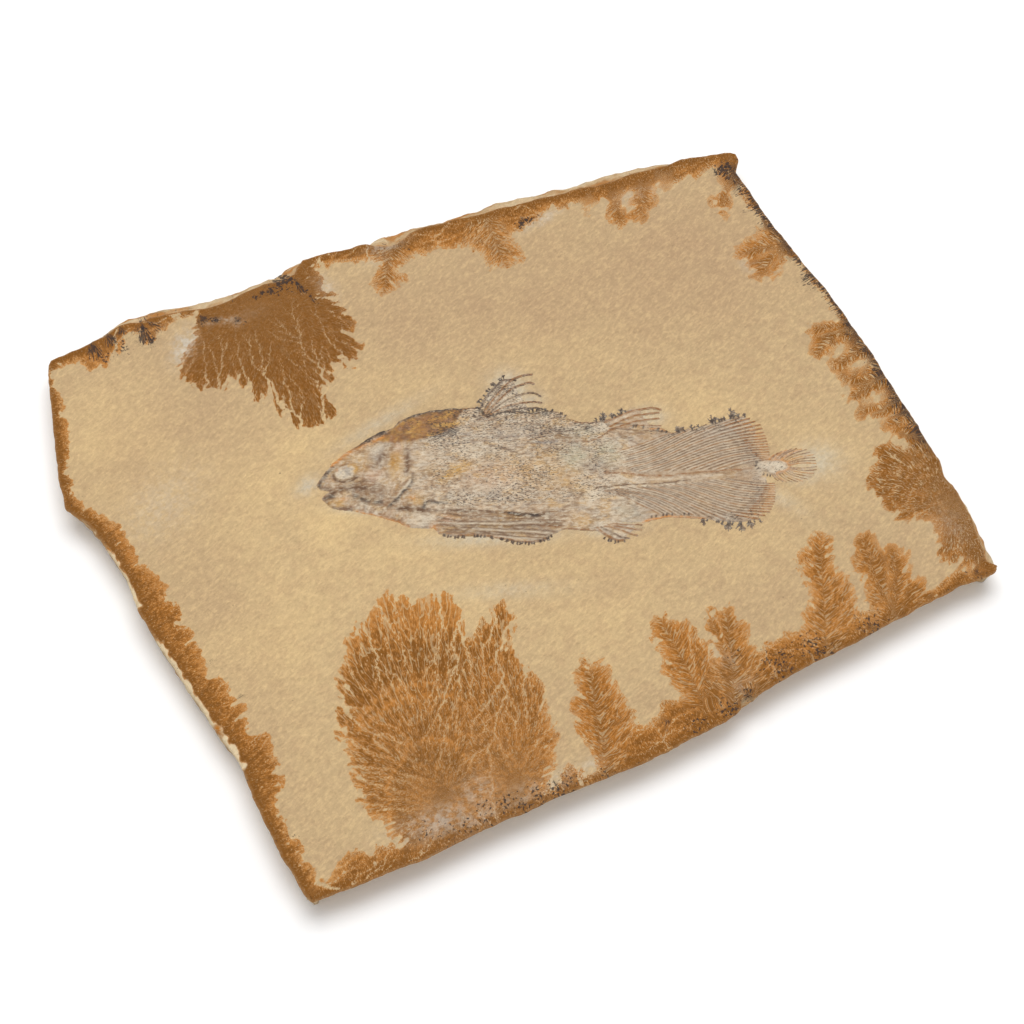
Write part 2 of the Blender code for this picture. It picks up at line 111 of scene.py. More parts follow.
LEFT_RIM = (
    (-190, -183, 0, 4), (-191.5, -174, 0, 2), (-192, -166, 0, 2), (-193.5, -157.5, 0, 6),
    (-194.5, -133, 0, 7), (-194.5, -116, 0, 6), (-194, -99, 0, 3), (-198, -77.5, 0, 2),
    (-201.5, -57, 0, 2), (-205.5, -34.5, 0, 2), (-208.5, -13.5, 0, 2), (-210.5, 2.5, 0, 5),
    (-210, 27.5, 0, 2), (-212.5, 44.5, 0, 2), (-217, 65.5, 0, 3), (-225, 79.5, 0, 7),
    (-222.5, 98.5, 0, 8), (-213, 136.5, 0, 8), (-207, 159, 0, 8), (-203, 172, 0, 6),
)

# The broken wall from the rim down: height, share of the undercut, share of the ledge, inset that
# rounds the rim, and how far the wall wanders in and out.
WALL = (
    (17.86, 0.00, 0.00, 0.80, 0.15),
    (17.40, 0.00, 0.00, 0.22, 0.25),
    (16.60, 0.03, 0.00, 0.00, 0.35),
    (15.40, 0.12, 0.00, 0.25, 0.50),
    (14.50, 0.18, 0.04, 0.10, 0.60),
    (13.90, 0.22, 0.62, 0.00, 0.70),
    (13.30, 0.27, 0.95, 0.00, 0.60),
    (12.20, 0.32, 1.00, 0.00, 0.50),
    (10.20, 0.42, 0.92, 0.30, 0.80),
    (7.60, 0.58, 0.72, 0.00, 0.90),
    (4.60, 0.76, 0.34, 0.35, 0.90),
    (2.00, 0.92, 0.10, 0.00, 0.70),
    (0.55, 0.98, 0.02, 0.10, 0.40),
    (0.00, 1.00, 0.00, 0.70, 0.20),
)
RIM_INSET = 1.7              # where the rounded rim meets the upper bed
LATTICE = (528, 440)         # finest cells across and along the upper bed, both multiples of 4
FINE_BLOCKS = 4050           # how many blocks of 4 by 4 cells keep all their cells
WALL_STEP = 2                # cells of the border to one column of the wall
CORNER_REACH = 12.0          # length of rim over which the outward direction is averaged

# ---- Mineral stains ----------------------------------------------------------------------------

# Inner edge of the stained border of the bed, anticlockwise from the far left.
CLEAR_BED = pairs(
    -204, 164, -204, 152, -201.5, 148, -202, 142, -205, 133, -208, 120, -214, 101, -218, 87,
    -213, 77, -209, 70, -199, 59, -200, 52, -198, 32, -190, 14, -193, 6, -190, -1, -190, -13,
    -189, -29, -187, -40, -185, -52, -178, -70, -179, -85, -173, -92, -175, -105, -177, -125,
    -185, -130, -185, -145, -182, -154, -182, -171, -177, -178, -162, -168, -150, -172, -135, -172,
    -53, -179, -40, -170, -35, -174, -34, -179, -7, -171, 3, -165, 12, -165, 17, -158, 26, -160,
    30, -162, 86, -151, 88, -154, 95, -149, 102, -151, 137, -153, 147, -157, 179, -157, 188, -155,
    199, -155, 208, -150, 212, -135, 217, -100, 218, -75, 218, -45, 218, -15, 216, 10, 214, 35,
    210, 65, 206, 95, 205, 128, 198, 141, 189, 138, 167, 140, 159, 142, 134, 145, 116, 149,
    95, 151, 77, 146, 48, 153, 29, 152, 12, 157, -11, 163, -24, 167, -38, 171, -111, 165,
    -124, 169, -132, 168, -135, 160, -139, 167, -142, 160, -149, 160, -151, 169, -157, 170,
    -161, 162, -166, 159, -171, 156, -175, 161, -179, 158, -183, 154, -187, 166, -196, 168)

# Dents of the bed: x, y, half length, half width, degrees, weight.
FLAKES = ((3.0, 167.5, 8.0, 2.2, -5.0, 1.0),)
PITS = ((144.0, 97.0, 1.6, 0.7, -50.0, 1.0), (92.0, 152.0, 9.0, 1.6, 5.0, 1.0),
        (60.0, -171.0, 5.0, 2.0, 15.0, 1.0))

# Growths: outline, line that it grows from, fast stems, depth of colour, share of orange, and
# strength.
GROWTHS = {
    "far_left_fan": (
        pairs(-118, 166, -122, 157, -133, 148, -138, 139, -138, 128, -132, 121, -119, 113,
              -112, 121, -109, 114, -107, 102, -103, 98, -98, 104, -101, 95, -97, 83, -92, 74,
              -78, 69, -68, 74, -63, 79, -68, 91, -57, 97, -60, 103, -44, 100, -36, 110, -38, 122,
              -34, 131, -35, 140, -36, 152, -41, 155, -39, 164, -42, 177, -51, 176, -77, 173,
              -90, 172, -104, 171, -112, 168),
        pairs(-114, 165, -103, 161, -90, 157, -76, 165, -64, 168, -57, 169, -51, 158), (),
        1.05, 0.05, 1.0),
    "near_left_fan": (
        pairs(-141, -163, -146, -152, -148, -141, -144, -127, -142, -113, -144, -106, -140, -95,
              -134, -82, -129, -71, -124, -70, -117, -58, -110, -49, -101, -47, -96, -48, -93, -41,
              -84, -40, -77, -47, -68, -50, -57, -51, -53, -57, -54, -65, -52, -71, -56, -85,
              -64, -99, -71, -117, -75, -132, -84, -154, -89, -168, -99, -179, -117, -181,
              -138, -178),
        pairs(-104.5, -159, -110, -167.5), (), 0.62, 0.3, 1.0),
    "near_right_fan": (
        pairs(-60, -84, -50, -79, -43, -70, -37, -71, -29, -67, -28, -75, -30, -85, -35, -95,
              -33, -102, -37, -113, -31, -121, -35, -132, -35, -137, -37, -148, -37, -158,
              -44, -168, -51, -174, -55, -180, -78, -181, -96, -176, -87, -155, -80, -132,
              -75, -117, -69, -100),
        pairs(-68, -166, -72, -176), (), 0.6, 0.25, 0.95),
    "lone_tree": (
        pairs(-7, -117, -6, -126, 2, -124, 2, -134, 2, -144, 3, -155, 0, -165, -7, -171, -13, -181,
              -26, -184, -29, -180, -26, -167, -29, -156, -26, -141, -17, -132, -14, -124),
        pairs(-26, -183, -22, -176), (pairs(-26, -183, -19, -169, -14, -152, -8, -130),),
        0.5, 0.15, 0.9),
    "near_bush_left": (
        pairs(36, -115, 42, -112, 42, -118, 52, -120, 53, -131, 56, -140, 52, -150, 39, -174,
              28, -167, 30, -159, 27, -151, 27, -143, 32, -140, 30, -130, 31, -121),
        pairs(39, -170, 45, -165), (pairs(39, -170, 39, -154, 40, -142, 40, -128, 40, -117),),
        0.5, 0.2, 0.95),
    "near_bush_right": (
        pairs(60, -126, 67, -120, 70, -126, 78, -123, 79, -132, 81, -137, 76, -145, 76, -149,
              78, -159, 82, -167, 71, -175, 62, -176, 36, -174, 44, -158, 52, -150, 60, -147,
              58, -132),
        pairs(54, -173, 58, -164),
        (pairs(54, -173, 63, -155, 67, -141, 73, -127), pairs(60, -160, 63, -140, 64, -128)),
        0.6, 0.35, 1.0),
    "tall_tree": (
        pairs(127, -108, 135, -103, 140, -102, 145, -106, 146, -112, 140, -122, 140, -128,
              142, -134, 141, -143, 137, -153, 130, -159, 117, -171, 98, -171, 104, -152,
              109, -143, 118, -138, 118, -132, 120, -119),
        pairs(110, -170, 116, -166),
        (pairs(110, -170, 119, -151, 127, -135, 133, -118, 140, -106),), 0.5, 0.3, 0.95),
    "forked_tree": (
        pairs(157, -113, 163, -111, 166, -115, 166, -123, 166, -130, 173, -124, 175, -130,
              179, -135, 175, -146, 181, -153, 178, -159, 173, -166, 155, -169, 137, -170,
              142, -156, 145, -147, 147, -138, 148, -127),
        pairs(150, -168, 157, -166),
        (pairs(150, -168, 155, -154, 158, -139, 160, -123, 162, -113),
         pairs(155, -161, 165, -146, 174, -129)),
        0.55, 0.35, 0.95),
    "right_fan": (
        pairs(190, -74, 181, -79, 177, -85, 178, -92, 177, -99, 179, -108, 182, -115, 187, -119,
              195, -118, 199, -120, 196, -127, 198, -133, 190, -139, 189, -146, 194, -153,
              207, -156, 216, -152, 220, -130, 221, -110, 222, -91, 222, -75, 215, -65, 205, -65,
              193, -63),
        pairs(221, -90, 219, -109, 217, -128, 213, -147), (), 0.8, 0.08, 1.0),
    "far_fan_small": (
        pairs(-9, 166, -7, 157, -16, 149, -13, 139, -5, 140, 5, 142, 2, 150, 12, 156, 11, 168,
              -1, 171),
        pairs(6, 169, 2, 166), (pairs(6, 169, -1, 158, -9, 145),), 0.58, 0.3, 0.8),
    "far_fan_wide": (
        pairs(48, 161, 43, 150, 49, 145, 49, 135, 50, 130, 59, 128, 69, 126, 72, 132, 70, 141,
              70, 152, 71, 161, 53, 165),
        pairs(60, 164, 66, 162), (pairs(63, 162, 61, 147, 59, 131),), 0.52, 0.45, 0.78),
    "far_tuft_a": (
        pairs(119, 152, 112, 140, 117, 136, 126, 147, 125, 154),
        pairs(122, 153, 124, 151), (), 0.45, 0.4, 0.74),
    "far_tuft_b": (
        pairs(135, 149, 127, 136, 129, 125, 137, 126, 140, 139, 142, 150),
        pairs(138, 148, 140, 147), (pairs(138, 148, 133, 128),), 0.6, 0.3, 0.92),
    "far_tuft_c": (
        pairs(149, 147, 139, 127, 146, 122, 152, 129, 160, 136, 160, 146),
        pairs(154, 146, 157, 145), (pairs(154, 146, 145, 125),), 0.55, 0.4, 0.88),
    "far_tuft_d": (
        pairs(167, 153, 164, 140, 170, 136, 175, 149),
        pairs(170, 150, 172, 149), (), 0.5, 0.45, 0.82),
    "corner_fan": (
        pairs(208, 137, 201.5, 139, 197.5, 133.5, 198.5, 128.5, 193.5, 124, 184, 121.5,
              184.5, 115.5, 187, 110, 186, 104, 191.5, 107, 197.5, 115, 205.5, 123, 209, 126),
        pairs(209, 134, 209, 130),
        (pairs(209, 132.5, 200.5, 124.5, 186.5, 119), pairs(207.5, 130.5, 198, 119, 187.5, 106.5)),
        0.62, 0.25, 0.96),
    "right_fan_far": (
        pairs(213, 79, 209.5, 88, 202, 93, 201, 86, 197, 88, 191, 87, 182, 82, 181, 74, 187, 73,
              184, 65, 186, 58, 191.5, 59, 196.5, 56, 199, 54, 203, 63, 210, 64),
        pairs(214, 80, 212, 72), (pairs(213.5, 75, 199, 77, 184.5, 79.5),
         pairs(211.5, 74, 199.5, 69.5, 188, 60.5),
         pairs(212, 74, 206, 66, 199, 56)), 0.5, 0.35, 0.94),
    "right_tree_a": (
        pairs(222, 12, 211.5, 17, 206.5, 16.5, 199, 20, 196, 15, 195, 9.5, 191, 4, 192, -3,
              197, -6, 205.5, 0, 210.5, -1, 219, 2),
        pairs(222, 9, 222, 5),
        (pairs(221, 7.5, 209, 7.5, 195, 0), pairs(220, 8, 209, 12, 198, 17)),
        0.6, 0.15, 0.97),
    "right_tree_b": (
        pairs(224, -1, 212.5, -3, 203, -7, 195.5, -8, 195.5, -14, 201, -17, 208, -14.5, 219.5, -13,
              225, -14.5),
        pairs(224, -5, 224, -9), (pairs(224, -7, 211, -8.5, 198, -11),), 0.6, 0.15, 0.96),
    "right_tree_c": (
        pairs(225, -17.5, 215.5, -19, 206, -19, 197, -17.5, 196, -23.5, 201, -27, 195, -30,
              195, -36, 202.5, -38, 210, -37, 220, -37.5, 226, -33),
        pairs(224, -22, 224, -29),
        (pairs(225, -24.5, 210.5, -27, 197.5, -20.5), pairs(222, -29, 207.5, -32.5, 196, -33)),
        0.6, 0.15, 0.92),
    "right_tree_d": (
        pairs(224, -38, 210, -41.5, 203, -41, 195, -40, 193, -45.5, 195, -50, 203, -52.5, 212, -53,
              221, -55, 226, -52),
        pairs(224, -41, 224, -47),
        (pairs(223.5, -44, 210.5, -46, 195, -42.5), pairs(222, -46, 210, -49, 198, -49)),
        0.6, 0.15, 0.92),
    "right_tree_e": (
        pairs(223, -54, 214.5, -55, 206, -54, 204.5, -58.5, 208, -64, 214, -68, 222, -73),
        pairs(223, -62, 223, -67), (pairs(223, -64, 216, -60, 205, -57.5),), 0.6, 0.15, 0.95),
}
LACY_SIDE = 205.0            # growths rooted beyond this x have the clearest veins
GROWTH_STEP = 0.5            # spacing of the grid on which the stains are grown
GROWTH_X = (-229.0, 229.0)   # the grid's reach
GROWTH_Y = (-193.0, 188.0)
FRONT_ROUNDS = 700           # at most, as the front stops once no cell is reached sooner
MARGIN_ROUNDS = 30           # how far, in cells, the distance to the outline is followed
VEIN_ROUNDS = 5              # and the distance to a vein
BRANCH_LEVELS = 10           # a branch has fewer than 2 ** 10 cells from its root to its tip

# Soft patches of colour on the bed: x, y, half length, half width, degrees, weight.
PALE_PATCHES = (
    (-128.5, 151.5, 11, 6.5, 55, 1.0), (-104, 159.5, 11, 2.6, -12, 0.8),
    (-113, -172, 21, 8.5, -3, 0.85), (-90, -166, 11, 9, 20, 0.7), (-95.5, 154.5, 4, 2.5, 0, 0.7),
    (-41, 158, 5, 9, 15, 0.45), (3, 170, 12, 3.5, 0, 0.9), (92, 149, 13, 3, 10, 0.6),
    (-176, 60, 26, 16, 30, 0.25), (-99, 37, 6, 4, 20, 0.4), (60, -168, 10, 6, 20, 0.35),
    (-86, 158, 12, 5, 0, 0.22), (-6, 163, 8, 5, 0, 0.25), (150, 143, 16, 6, 0, 0.35),
    (186, 70, 3, 5, 30, 0.4), (-30, -176, 8, 4, 0, 0.4), (208, -128, 8, 14, 0, 0.35),
    (60, -150, 6, 8, 0, 0.3), (-102, -178, 24, 6, 0, 0.7), (-68, -176, 16, 6, 5, 0.6),
    (-46, -177, 12, 5, 5, 0.5),
)
# Yellowish tint of the limestone, partly painted light: its broad patches also brighten the left
# and near side of the bed.
YELLOW_AND_LIGHT_PATCHES = (
    (-92, 62, 26, 24, 0, 0.9), (-98, 14, 26, 24, 0, 1.0), (-62, -22, 44, 18, -22, 0.9),
    (30, -70, 90, 18, -22, 0.35), (118, -10, 42, 26, -30, 0.5), (160, -60, 30, 26, 0, 0.5),
    (60, 62, 60, 20, -20, 0.3), (-30, 80, 40, 16, -20, 0.4), (100, -90, 40, 26, 0, 0.3),
    (-150, -120, 34, 40, 0, 0.6), (-130, -40, 70, 60, 0, 0.75), (-60, -60, 110, 40, -20, 0.6),
    (0, -100, 60, 30, -10, 0.5), (-120, 40, 60, 60, 0, 0.7), (-185, 100, 34, 50, 0, 0.9),
)
# Pinkish grey tint of the limestone, partly painted shade: its broad patches also darken the far
# side of the bed.
PINK_AND_SHADE_PATCHES = (
    (60, 109, 60, 40, -15, 1.0), (-150, 110, 50, 60, 0, 0.7), (-20, 120, 60, 34, 0, 0.75),
    (150, 90, 60, 50, 0, 1.0), (-170, -30, 20, 90, 0, 0.5), (24, -86, 16, 12, 0, 0.5),
    (100, -130, 40, 16, 0, 0.4), (170, -140, 40, 18, 0, 0.5),
)
# Greyish scraped halo round the fins and the tuft.
HALO_PATCHES = (
    (161, -62, 13, 11, -20, 0.5), (150, -68, 10, 5, -20, 0.45), (27, 51, 9, 11, 20, 0.7),
    (33, 38, 8, 5, 0, 0.5), (89, 2, 9, 6, -20, 0.6), (-19, -33, 32, 5, -20, 0.6),
    (40, -53, 14, 5, -20, 0.7), (-81, 15, 12, 3.5, -25, 0.7), (95, -20, 16, 4, -20, 0.3),
    (-100, 40, 7, 3.5, 25, 0.5), (-48, 60, 26, 4, 12, 0.35), (130, -72, 18, 5, -60, 0.3),
    (-26, -66, 30, 5, -20, 0.25),
)
# Black dendrites: root, heading and half spread in degrees, length, weight.
SOOT_FANS = (
    (-175, 178.5, -98, 26, 17, 0.85), (-165.5, 180, -84, 28, 15, 0.8),
    (-157, 180, -95, 40, 8, 0.85), (-145, 178, -97, 20, 20, 0.95),
    (-142.5, 177.5, -58, 22, 14, 0.75), (-147, 177, -128, 20, 9, 0.65),
    (-113, 168, -80, 60, 6.5, 0.95), (-106, 164, -80, 50, 6, 0.85), (-95, 159.5, -90, 50, 6, 0.8),
    (-54.5, 171, -88, 12, 16, 0.75), (-51, 158, -86, 8, 12, 0.7), (82, 157, -95, 30, 9, 0.7),
    (213, 138, -165, 34, 17, 0.62), (206, 143, -140, 22, 14, 0.5), (-190, -40, 10, 16, 9, 0.5),
    (-183, -66, 20, 14, 9, 0.6), (207, -163, 90, 50, 9, 0.55), (140, -168, 90, 50, 8, 0.5),
    (86, -171, 80, 40, 10, 0.5), (62, -176, 70, 40, 11, 0.35), (14, -176, 80, 30, 10, 0.45),
)
# Stretches of the left rim that are chipped to fresh stone: half width, and points.
CHIPPED_RIM = (
    (2.8, -208.5, -18, -206, -38, -202.5, -57, -199, -76, -196, -90, -194.5, -102),
    (2.3, -217, 58, -213, 40, -211, 26, -210, 8),
)
# Black mineral along the rim: x, y, reach along the bed, weight.
BLACK_SPOTS = (
    (-79.5, 166.5, 3.0, 0.58), (-75, 167.4, 3.5, 0.66), (-70, 167.8, 3.8, 0.72),
    (-65, 168.6, 3.8, 0.78), (-60.5, 169.3, 3.6, 0.84), (-56.5, 169.5, 3.2, 0.86),
    (-54, 172.5, 1.2, 0.8), (-68, 164, 4, 0.5), (-60, 164, 4, 0.5), (-54.5, 166, 1.6, 0.9),
    (-53, 162.5, 1.4, 0.85), (-51.5, 159, 1.4, 0.85), (-50.5, 155, 1.4, 0.8),
    (-49.5, 151, 1.5, 0.7), (-49, 148, 1.2, 0.55), (-113.5, 163.5, 3.2, 0.6),
    (-107, 162, 3.0, 0.56), (-95, 156.5, 3.0, 0.6), (-92.5, 153, 2.6, 0.5), (-146, 172, 4, 0.7),
    (-144, 164, 4, 0.6), (-160, 166, 6, 0.55), (-172, 163, 6, 0.5), (80, 150, 4, 0.75),
    (85, 151.5, 4, 0.75), (92, 153, 3, 0.5), (207, 139, 5, 0.9), (202, 138, 5, 0.8),
    (12, 165, 4, 0.5), (-122, -176, 8, 0.42), (-100, -181, 10, 0.4), (-90, -174, 7, 0.42),
    (-78, -178, 9, 0.48), (-62, -179, 9, 0.5), (-45, -179, 9, 0.45), (-25, -182, 6, 0.42),
    (62, -172, 4, 0.55), (50, -177, 9, 0.5), (86, -165, 15, 0.5), (106, -163, 13, 0.5),
    (140, -163, 13, 0.46), (-112, -180, 9, 0.42), (-92, -181, 9, 0.45), (-70, -183, 8, 0.5),
    (-52, -181, 8, 0.55), (204, -158, 8, 0.35), (-184, -150, 5, 0.35), (66, -150, 7, 0.42),
    (30, -178, 12, 0.44),
)


# ---- Numbers -----------------------------------------------------------------------------------

def smooth(low, high, value):
    """An ease from 0 at low to 1 at high: the cubic 3t^2 - 2t^3."""
    share = np.clip((value - low) / (high - low), 0.0, 1.0)
    return share * share * (3.0 - 2.0 * share)


def noise(x, y, cell, seed):
    """Noise from -1 to 1: random heights on a square lattice, blended with a fifth-power ease."""
    table = np.random.default_rng(seed).random((256, 256)).astype(np.float32)
    across, up = x / cell, y / cell
    column, row = np.floor(across).astype(int), np.floor(up).astype(int)
    a, b = across - column, up - row
    a, b = a ** 3 * (a * (a * 6 - 15) + 10), b ** 3 * (b * (b * 6 - 15) + 10)
    left = table[column & 255, row & 255] * (1 - b) + table[column & 255, (row + 1) & 255] * b
    right = (table[(column + 1) & 255, row & 255] * (1 - b)
             + table[(column + 1) & 255, (row + 1) & 255] * b)
    return (left * (1 - a) + right * a) * 2.0 - 1.0


def layered(x, y, cell, layers, seed):
    """Noise summed over layers, each half as large and half as strong as the one before."""
    total = sum(noise(x, y, cell / 2 ** k, seed + k) / 2 ** k for k in range(layers))
    return total / 1.5


def along(points, places):
    """Rows at the given shares, 0 to 1, of a polyline's length in its first two columns."""
    points = np.array(points, float)
    steps = np.linalg.norm(np.diff(points[:, :2], axis=0), axis=1)
    run = np.concatenate(([0.0], np.cumsum(steps)))
    where = np.asarray(places) * run[-1]
    return np.stack([np.interp(where, run, column) for column in points.T], axis=-1)


def line_distance(points, x, y):
    """Distance from each place to a polyline, and how far along it the nearest point lies."""
    best = np.full(np.shape(x), 1e9)
    place = np.zeros(np.shape(x))
    run = 0.0
    for (ax, ay), (bx, by) in zip(points[:-1], points[1:]):
        length = math.hypot(bx - ax, by - ay) + 1e-9
        share = np.clip(((x - ax) * (bx - ax) + (y - ay) * (by - ay)) / length ** 2, 0, 1)
        apart = (x - ax - share * (bx - ax)) ** 2 + (y - ay - share * (by - ay)) ** 2
        nearer = apart < best
        best = np.where(nearer, apart, best)
        place = np.where(nearer, run + share * length, place)
        run += length
    return np.sqrt(best), place


def inside_outline(points, x, y):
    """Whether each place is inside a closed outline: a ray to the right crosses it oddly often."""
    odd = np.zeros(np.shape(x), bool)
    for (ax, ay), (bx, by) in zip(points, points[1:] + points[:1]):
        if ay != by:
            crosses = ((ay > y) != (by > y)) & (x < (bx - ax) * (y - ay) / (by - ay) + ax)
            odd ^= crosses
    return odd


def outline_depth(points, x, y):
    """Signed distance to a closed outline, positive inside."""
    points = tuple(points)
    apart, _ = line_distance(points + points[:1], x, y)
    return np.where(inside_outline(points, x, y), apart, -apart)


def patches(rows, x, y):
    """Soft oval patches: the highest of the bells whose rows give place, size, turn and weight."""
    total = np.zeros(np.shape(x))
    for px, py, half_length, half_width, degrees, weight in rows:
        turn = math.radians(degrees)
        dx, dy = x - px, y - py
        u = (dx * math.cos(turn) + dy * math.sin(turn)) / half_length
        v = (dy * math.cos(turn) - dx * math.sin(turn)) / half_width
        total = np.maximum(total, weight * np.exp(-(u * u + v * v)))
    return total


class Field:
    """Values on an even grid, read between its points by bilinear blending."""

    def __init__(self, low_x, low_y, step, values):
        self.low_x, self.low_y, self.step, self.values = low_x, low_y, step, values

    def at(self, x, y):
        across = np.clip((x - self.low_x) / self.step, 0, self.values.shape[0] - 1.001)
        up = np.clip((y - self.low_y) / self.step, 0, self.values.shape[1] - 1.001)
        column, row = across.astype(int), up.astype(int)
        a, b = across - column, up - row
        v = self.values
        return ((v[column, row] * (1 - a) + v[column + 1, row] * a) * (1 - b)
                + (v[column, row + 1] * (1 - a) + v[column + 1, row + 1] * a) * b)


# ---- Meshes, nodes and objects -----------------------------------------------------------------

def new_mesh(name, points, corners, counts):
    """A mesh object from points in millimetres, face corners in one run, and corners per face."""
    mesh = bpy.data.meshes.new(name)
    mesh.vertices.add(len(points))
    mesh.vertices.foreach_set("co", np.ascontiguousarray(points * MM, np.float32).ravel())
    mesh.loops.add(len(corners))
    mesh.loops.foreach_set("vertex_index", np.asarray(corners, np.int32))
    mesh.polygons.add(len(counts))
    starts = np.concatenate(([0], np.cumsum(counts)[:-1])).astype(np.int32)
    mesh.polygons.foreach_set("loop_start", starts)
    mesh.update(calc_edges=True)
    mesh.validate()
    mesh.shade_smooth()
    item = bpy.data.objects.new(name, mesh)
    bpy.context.scene.collection.objects.link(item)
    return item


def store(item, name, values):
    """Values kept on an object's points, one number or one vector each."""
    values = np.asarray(values, np.float32)
    kind = "FLOAT" if values.ndim == 1 else "FLOAT_VECTOR"
    layer = item.data.attributes.new(name, kind, "POINT")
    layer.data.foreach_set("value" if values.ndim == 1 else "vector", values.ravel())


def finish_piece(item, node):
    """The piece rides on the one body, and takes the place of its CAD node, which is hidden."""
    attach(item, "root")
    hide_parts(node)


class Nodes:
    """Shader nodes of one tree, made and wired in one call each."""

    def __init__(self, tree):
        self.tree = tree

    def add(self, kind, values=None, **settings):
        node = self.tree.nodes.new(kind)
        for key, value in settings.items():
            setattr(node, key, value)
        for key, value in (values or {}).items():
            socket = node.inputs[key]
            if isinstance(value, bpy.types.NodeSocket):
                self.tree.links.new(value, socket)
            else:
                socket.default_value = value
        return node

    def math(self, operation, a, b=0.0, c=0.0, clamp=False):
        return self.add("ShaderNodeMath", {0: a, 1: b, 2: c}, operation=operation,
                        use_clamp=clamp).outputs[0]

    def plus(self, a, b):
        return self.math("ADD", a, b)

    def minus(self, a, b, clamp=False):
        return self.math("SUBTRACT", a, b, clamp=clamp)

    def times(self, a, b, clamp=False):
        return self.math("MULTIPLY", a, b, clamp=clamp)

    def times_plus(self, a, b, c):
        return self.math("MULTIPLY_ADD", a, b, c)

    def swing(self, value, reach):
        """How far a noise is from its middle, scaled to a reach."""
        return self.times(self.minus(value, 0.5), reach)

    def band(self, value, low, high, bottom=0.0, top=1.0):
        """A smooth step between two values."""
        return self.add("ShaderNodeMapRange",
                        {"Value": value, "From Min": low, "From Max": high, "To Min": bottom,
                         "To Max": top}, interpolation_type="SMOOTHSTEP").outputs["Result"]

    def mix(self, factor, a, b, blend="MIX"):
        node = self.tree.nodes.new("ShaderNodeMix")
        node.data_type, node.blend_type, node.clamp_factor = "RGBA", blend, True
        for index, value in ((0, factor), (6, a), (7, b)):
            if isinstance(value, bpy.types.NodeSocket):
                self.tree.links.new(value, node.inputs[index])
            elif index == 0:
                node.inputs[index].default_value = value
            else:
                node.inputs[index].default_value = (*value[:3], 1.0)
        return node.outputs[2]

    def noise(self, vector, scale, detail=2.0, roughness=0.5, distortion=0.0):
        return self.add("ShaderNodeTexNoise",
                        {"Vector": vector, "Scale": scale, "Detail": detail,
                         "Roughness": roughness, "Distortion": distortion}).outputs["Fac"]

    def value(self, name):
        return self.add("ShaderNodeAttribute", attribute_name=name).outputs["Fac"]

    def vector(self, name):
        return self.add("ShaderNodeAttribute", attribute_name=name).outputs["Vector"]

    def scaled(self, vector, factors):
        return self.add("ShaderNodeVectorMath", {0: vector, 1: factors},
                        operation="MULTIPLY").outputs[0]

    def group(self, name, **inputs):
        return self.add("ShaderNodeGroup", inputs, node_tree=bpy.data.node_groups[name]).outputs


def new_group(name, inputs, outputs):
    """A node group with sockets of these names: Place is a vector, and the rest are numbers."""
    group = bpy.data.node_groups.new(name, "ShaderNodeTree")
    for way, sockets in (("INPUT", inputs), ("OUTPUT", outputs)):
        for socket in sockets:
            kind = "NodeSocketVector" if socket == "Place" else "NodeSocketFloat"
            group.interface.new_socket(socket, in_out=way, socket_type=kind)
    return (Nodes(group), group.nodes.new("NodeGroupInput").outputs,
            group.nodes.new("NodeGroupOutput").inputs)


def grain_group():
    """Fine stone grain: a shade about 1 to multiply a colour by, and a height."""
    n, given, result = new_group("Fine Stone Grain", ("Place", "Depth"), ("Shade", "Height"))
    fine = n.noise(given["Place"], 1500.0, 2.0, 0.6)
    broad = n.noise(given["Place"], 420.0, 3.0, 0.55)
    both = n.plus(n.times(fine, 0.5), n.times(broad, 0.5))
    n.tree.links.new(n.times_plus(n.minus(both, 0.5), given["Depth"], 1.0), result["Shade"])
    n.tree.links.new(both, result["Height"])


def speckle_group():
    """Specks: where a rough noise is above a level, which sinks as their density rises."""
    n, given, result = new_group("Mineral Specks", ("Place", "Density", "Size"), ("Mask",))
    rough = n.noise(given["Place"], given["Size"], 3.0, 0.62)
    level = n.times_plus(given["Density"], -0.42, 0.74)
    n.tree.links.new(n.band(n.minus(rough, level), -0.02, 0.04), result["Mask"])


def open_material(name, depth):
    """A material with nothing in it yet but the place on the piece and the stone's grain."""
    material = bpy.data.materials.new(name)
    material.use_nodes = True
    material.node_tree.nodes.clear()
    n = Nodes(material.node_tree)
    place = n.add("ShaderNodeTexCoord").outputs["Object"]
    return material, n, place, n.group("Fine Stone Grain", Place=place, Depth=depth)


def close_material(n, colour, shade, bump, surface):
    """The colour under its shade, the bump, the surface and the output."""
    grey = n.add("ShaderNodeCombineColor", {0: shade, 1: shade, 2: shade}).outputs[0]
    normal = n.add("ShaderNodeBump", bump).outputs[0]
    shaded = n.mix(1.0, colour, grey, "MULTIPLY")
    shader = n.add("ShaderNodeBsdfPrincipled",
                   {"Base Color": shaded, "Normal": normal, **surface})
    n.add("ShaderNodeOutputMaterial", {0: shader.outputs[0]})


# ---- The stone ---------------------------------------------------------------------------------

class StoneSizes(bpy.types.PropertyGroup):
    """Sizes of the plate's own unevenness."""
    pebble_size: FloatProperty(name="Pebble size", description="Width of the soft bumps of the bed",
                               default=0.0085, min=0.002, max=0.03, unit="LENGTH")
    pebble_height: FloatProperty(name="Pebble height", description="Height of the soft bumps",
                                 default=0.00052, min=0.0, max=0.002, unit="LENGTH")
    swell_height: FloatProperty(name="Swell height", description="Height of the broad swells",
                                default=0.00035, min=0.0, max=0.002, unit="LENGTH")
    rim_raggedness: FloatProperty(name="Rim raggedness",
                                  description="How far the broken rim wanders from its line",
                                  default=0.0006, min=0.0, max=0.003, unit="LENGTH")
    growth_seed: IntProperty(name="Growth seed", description="Which stains grow", default=7)


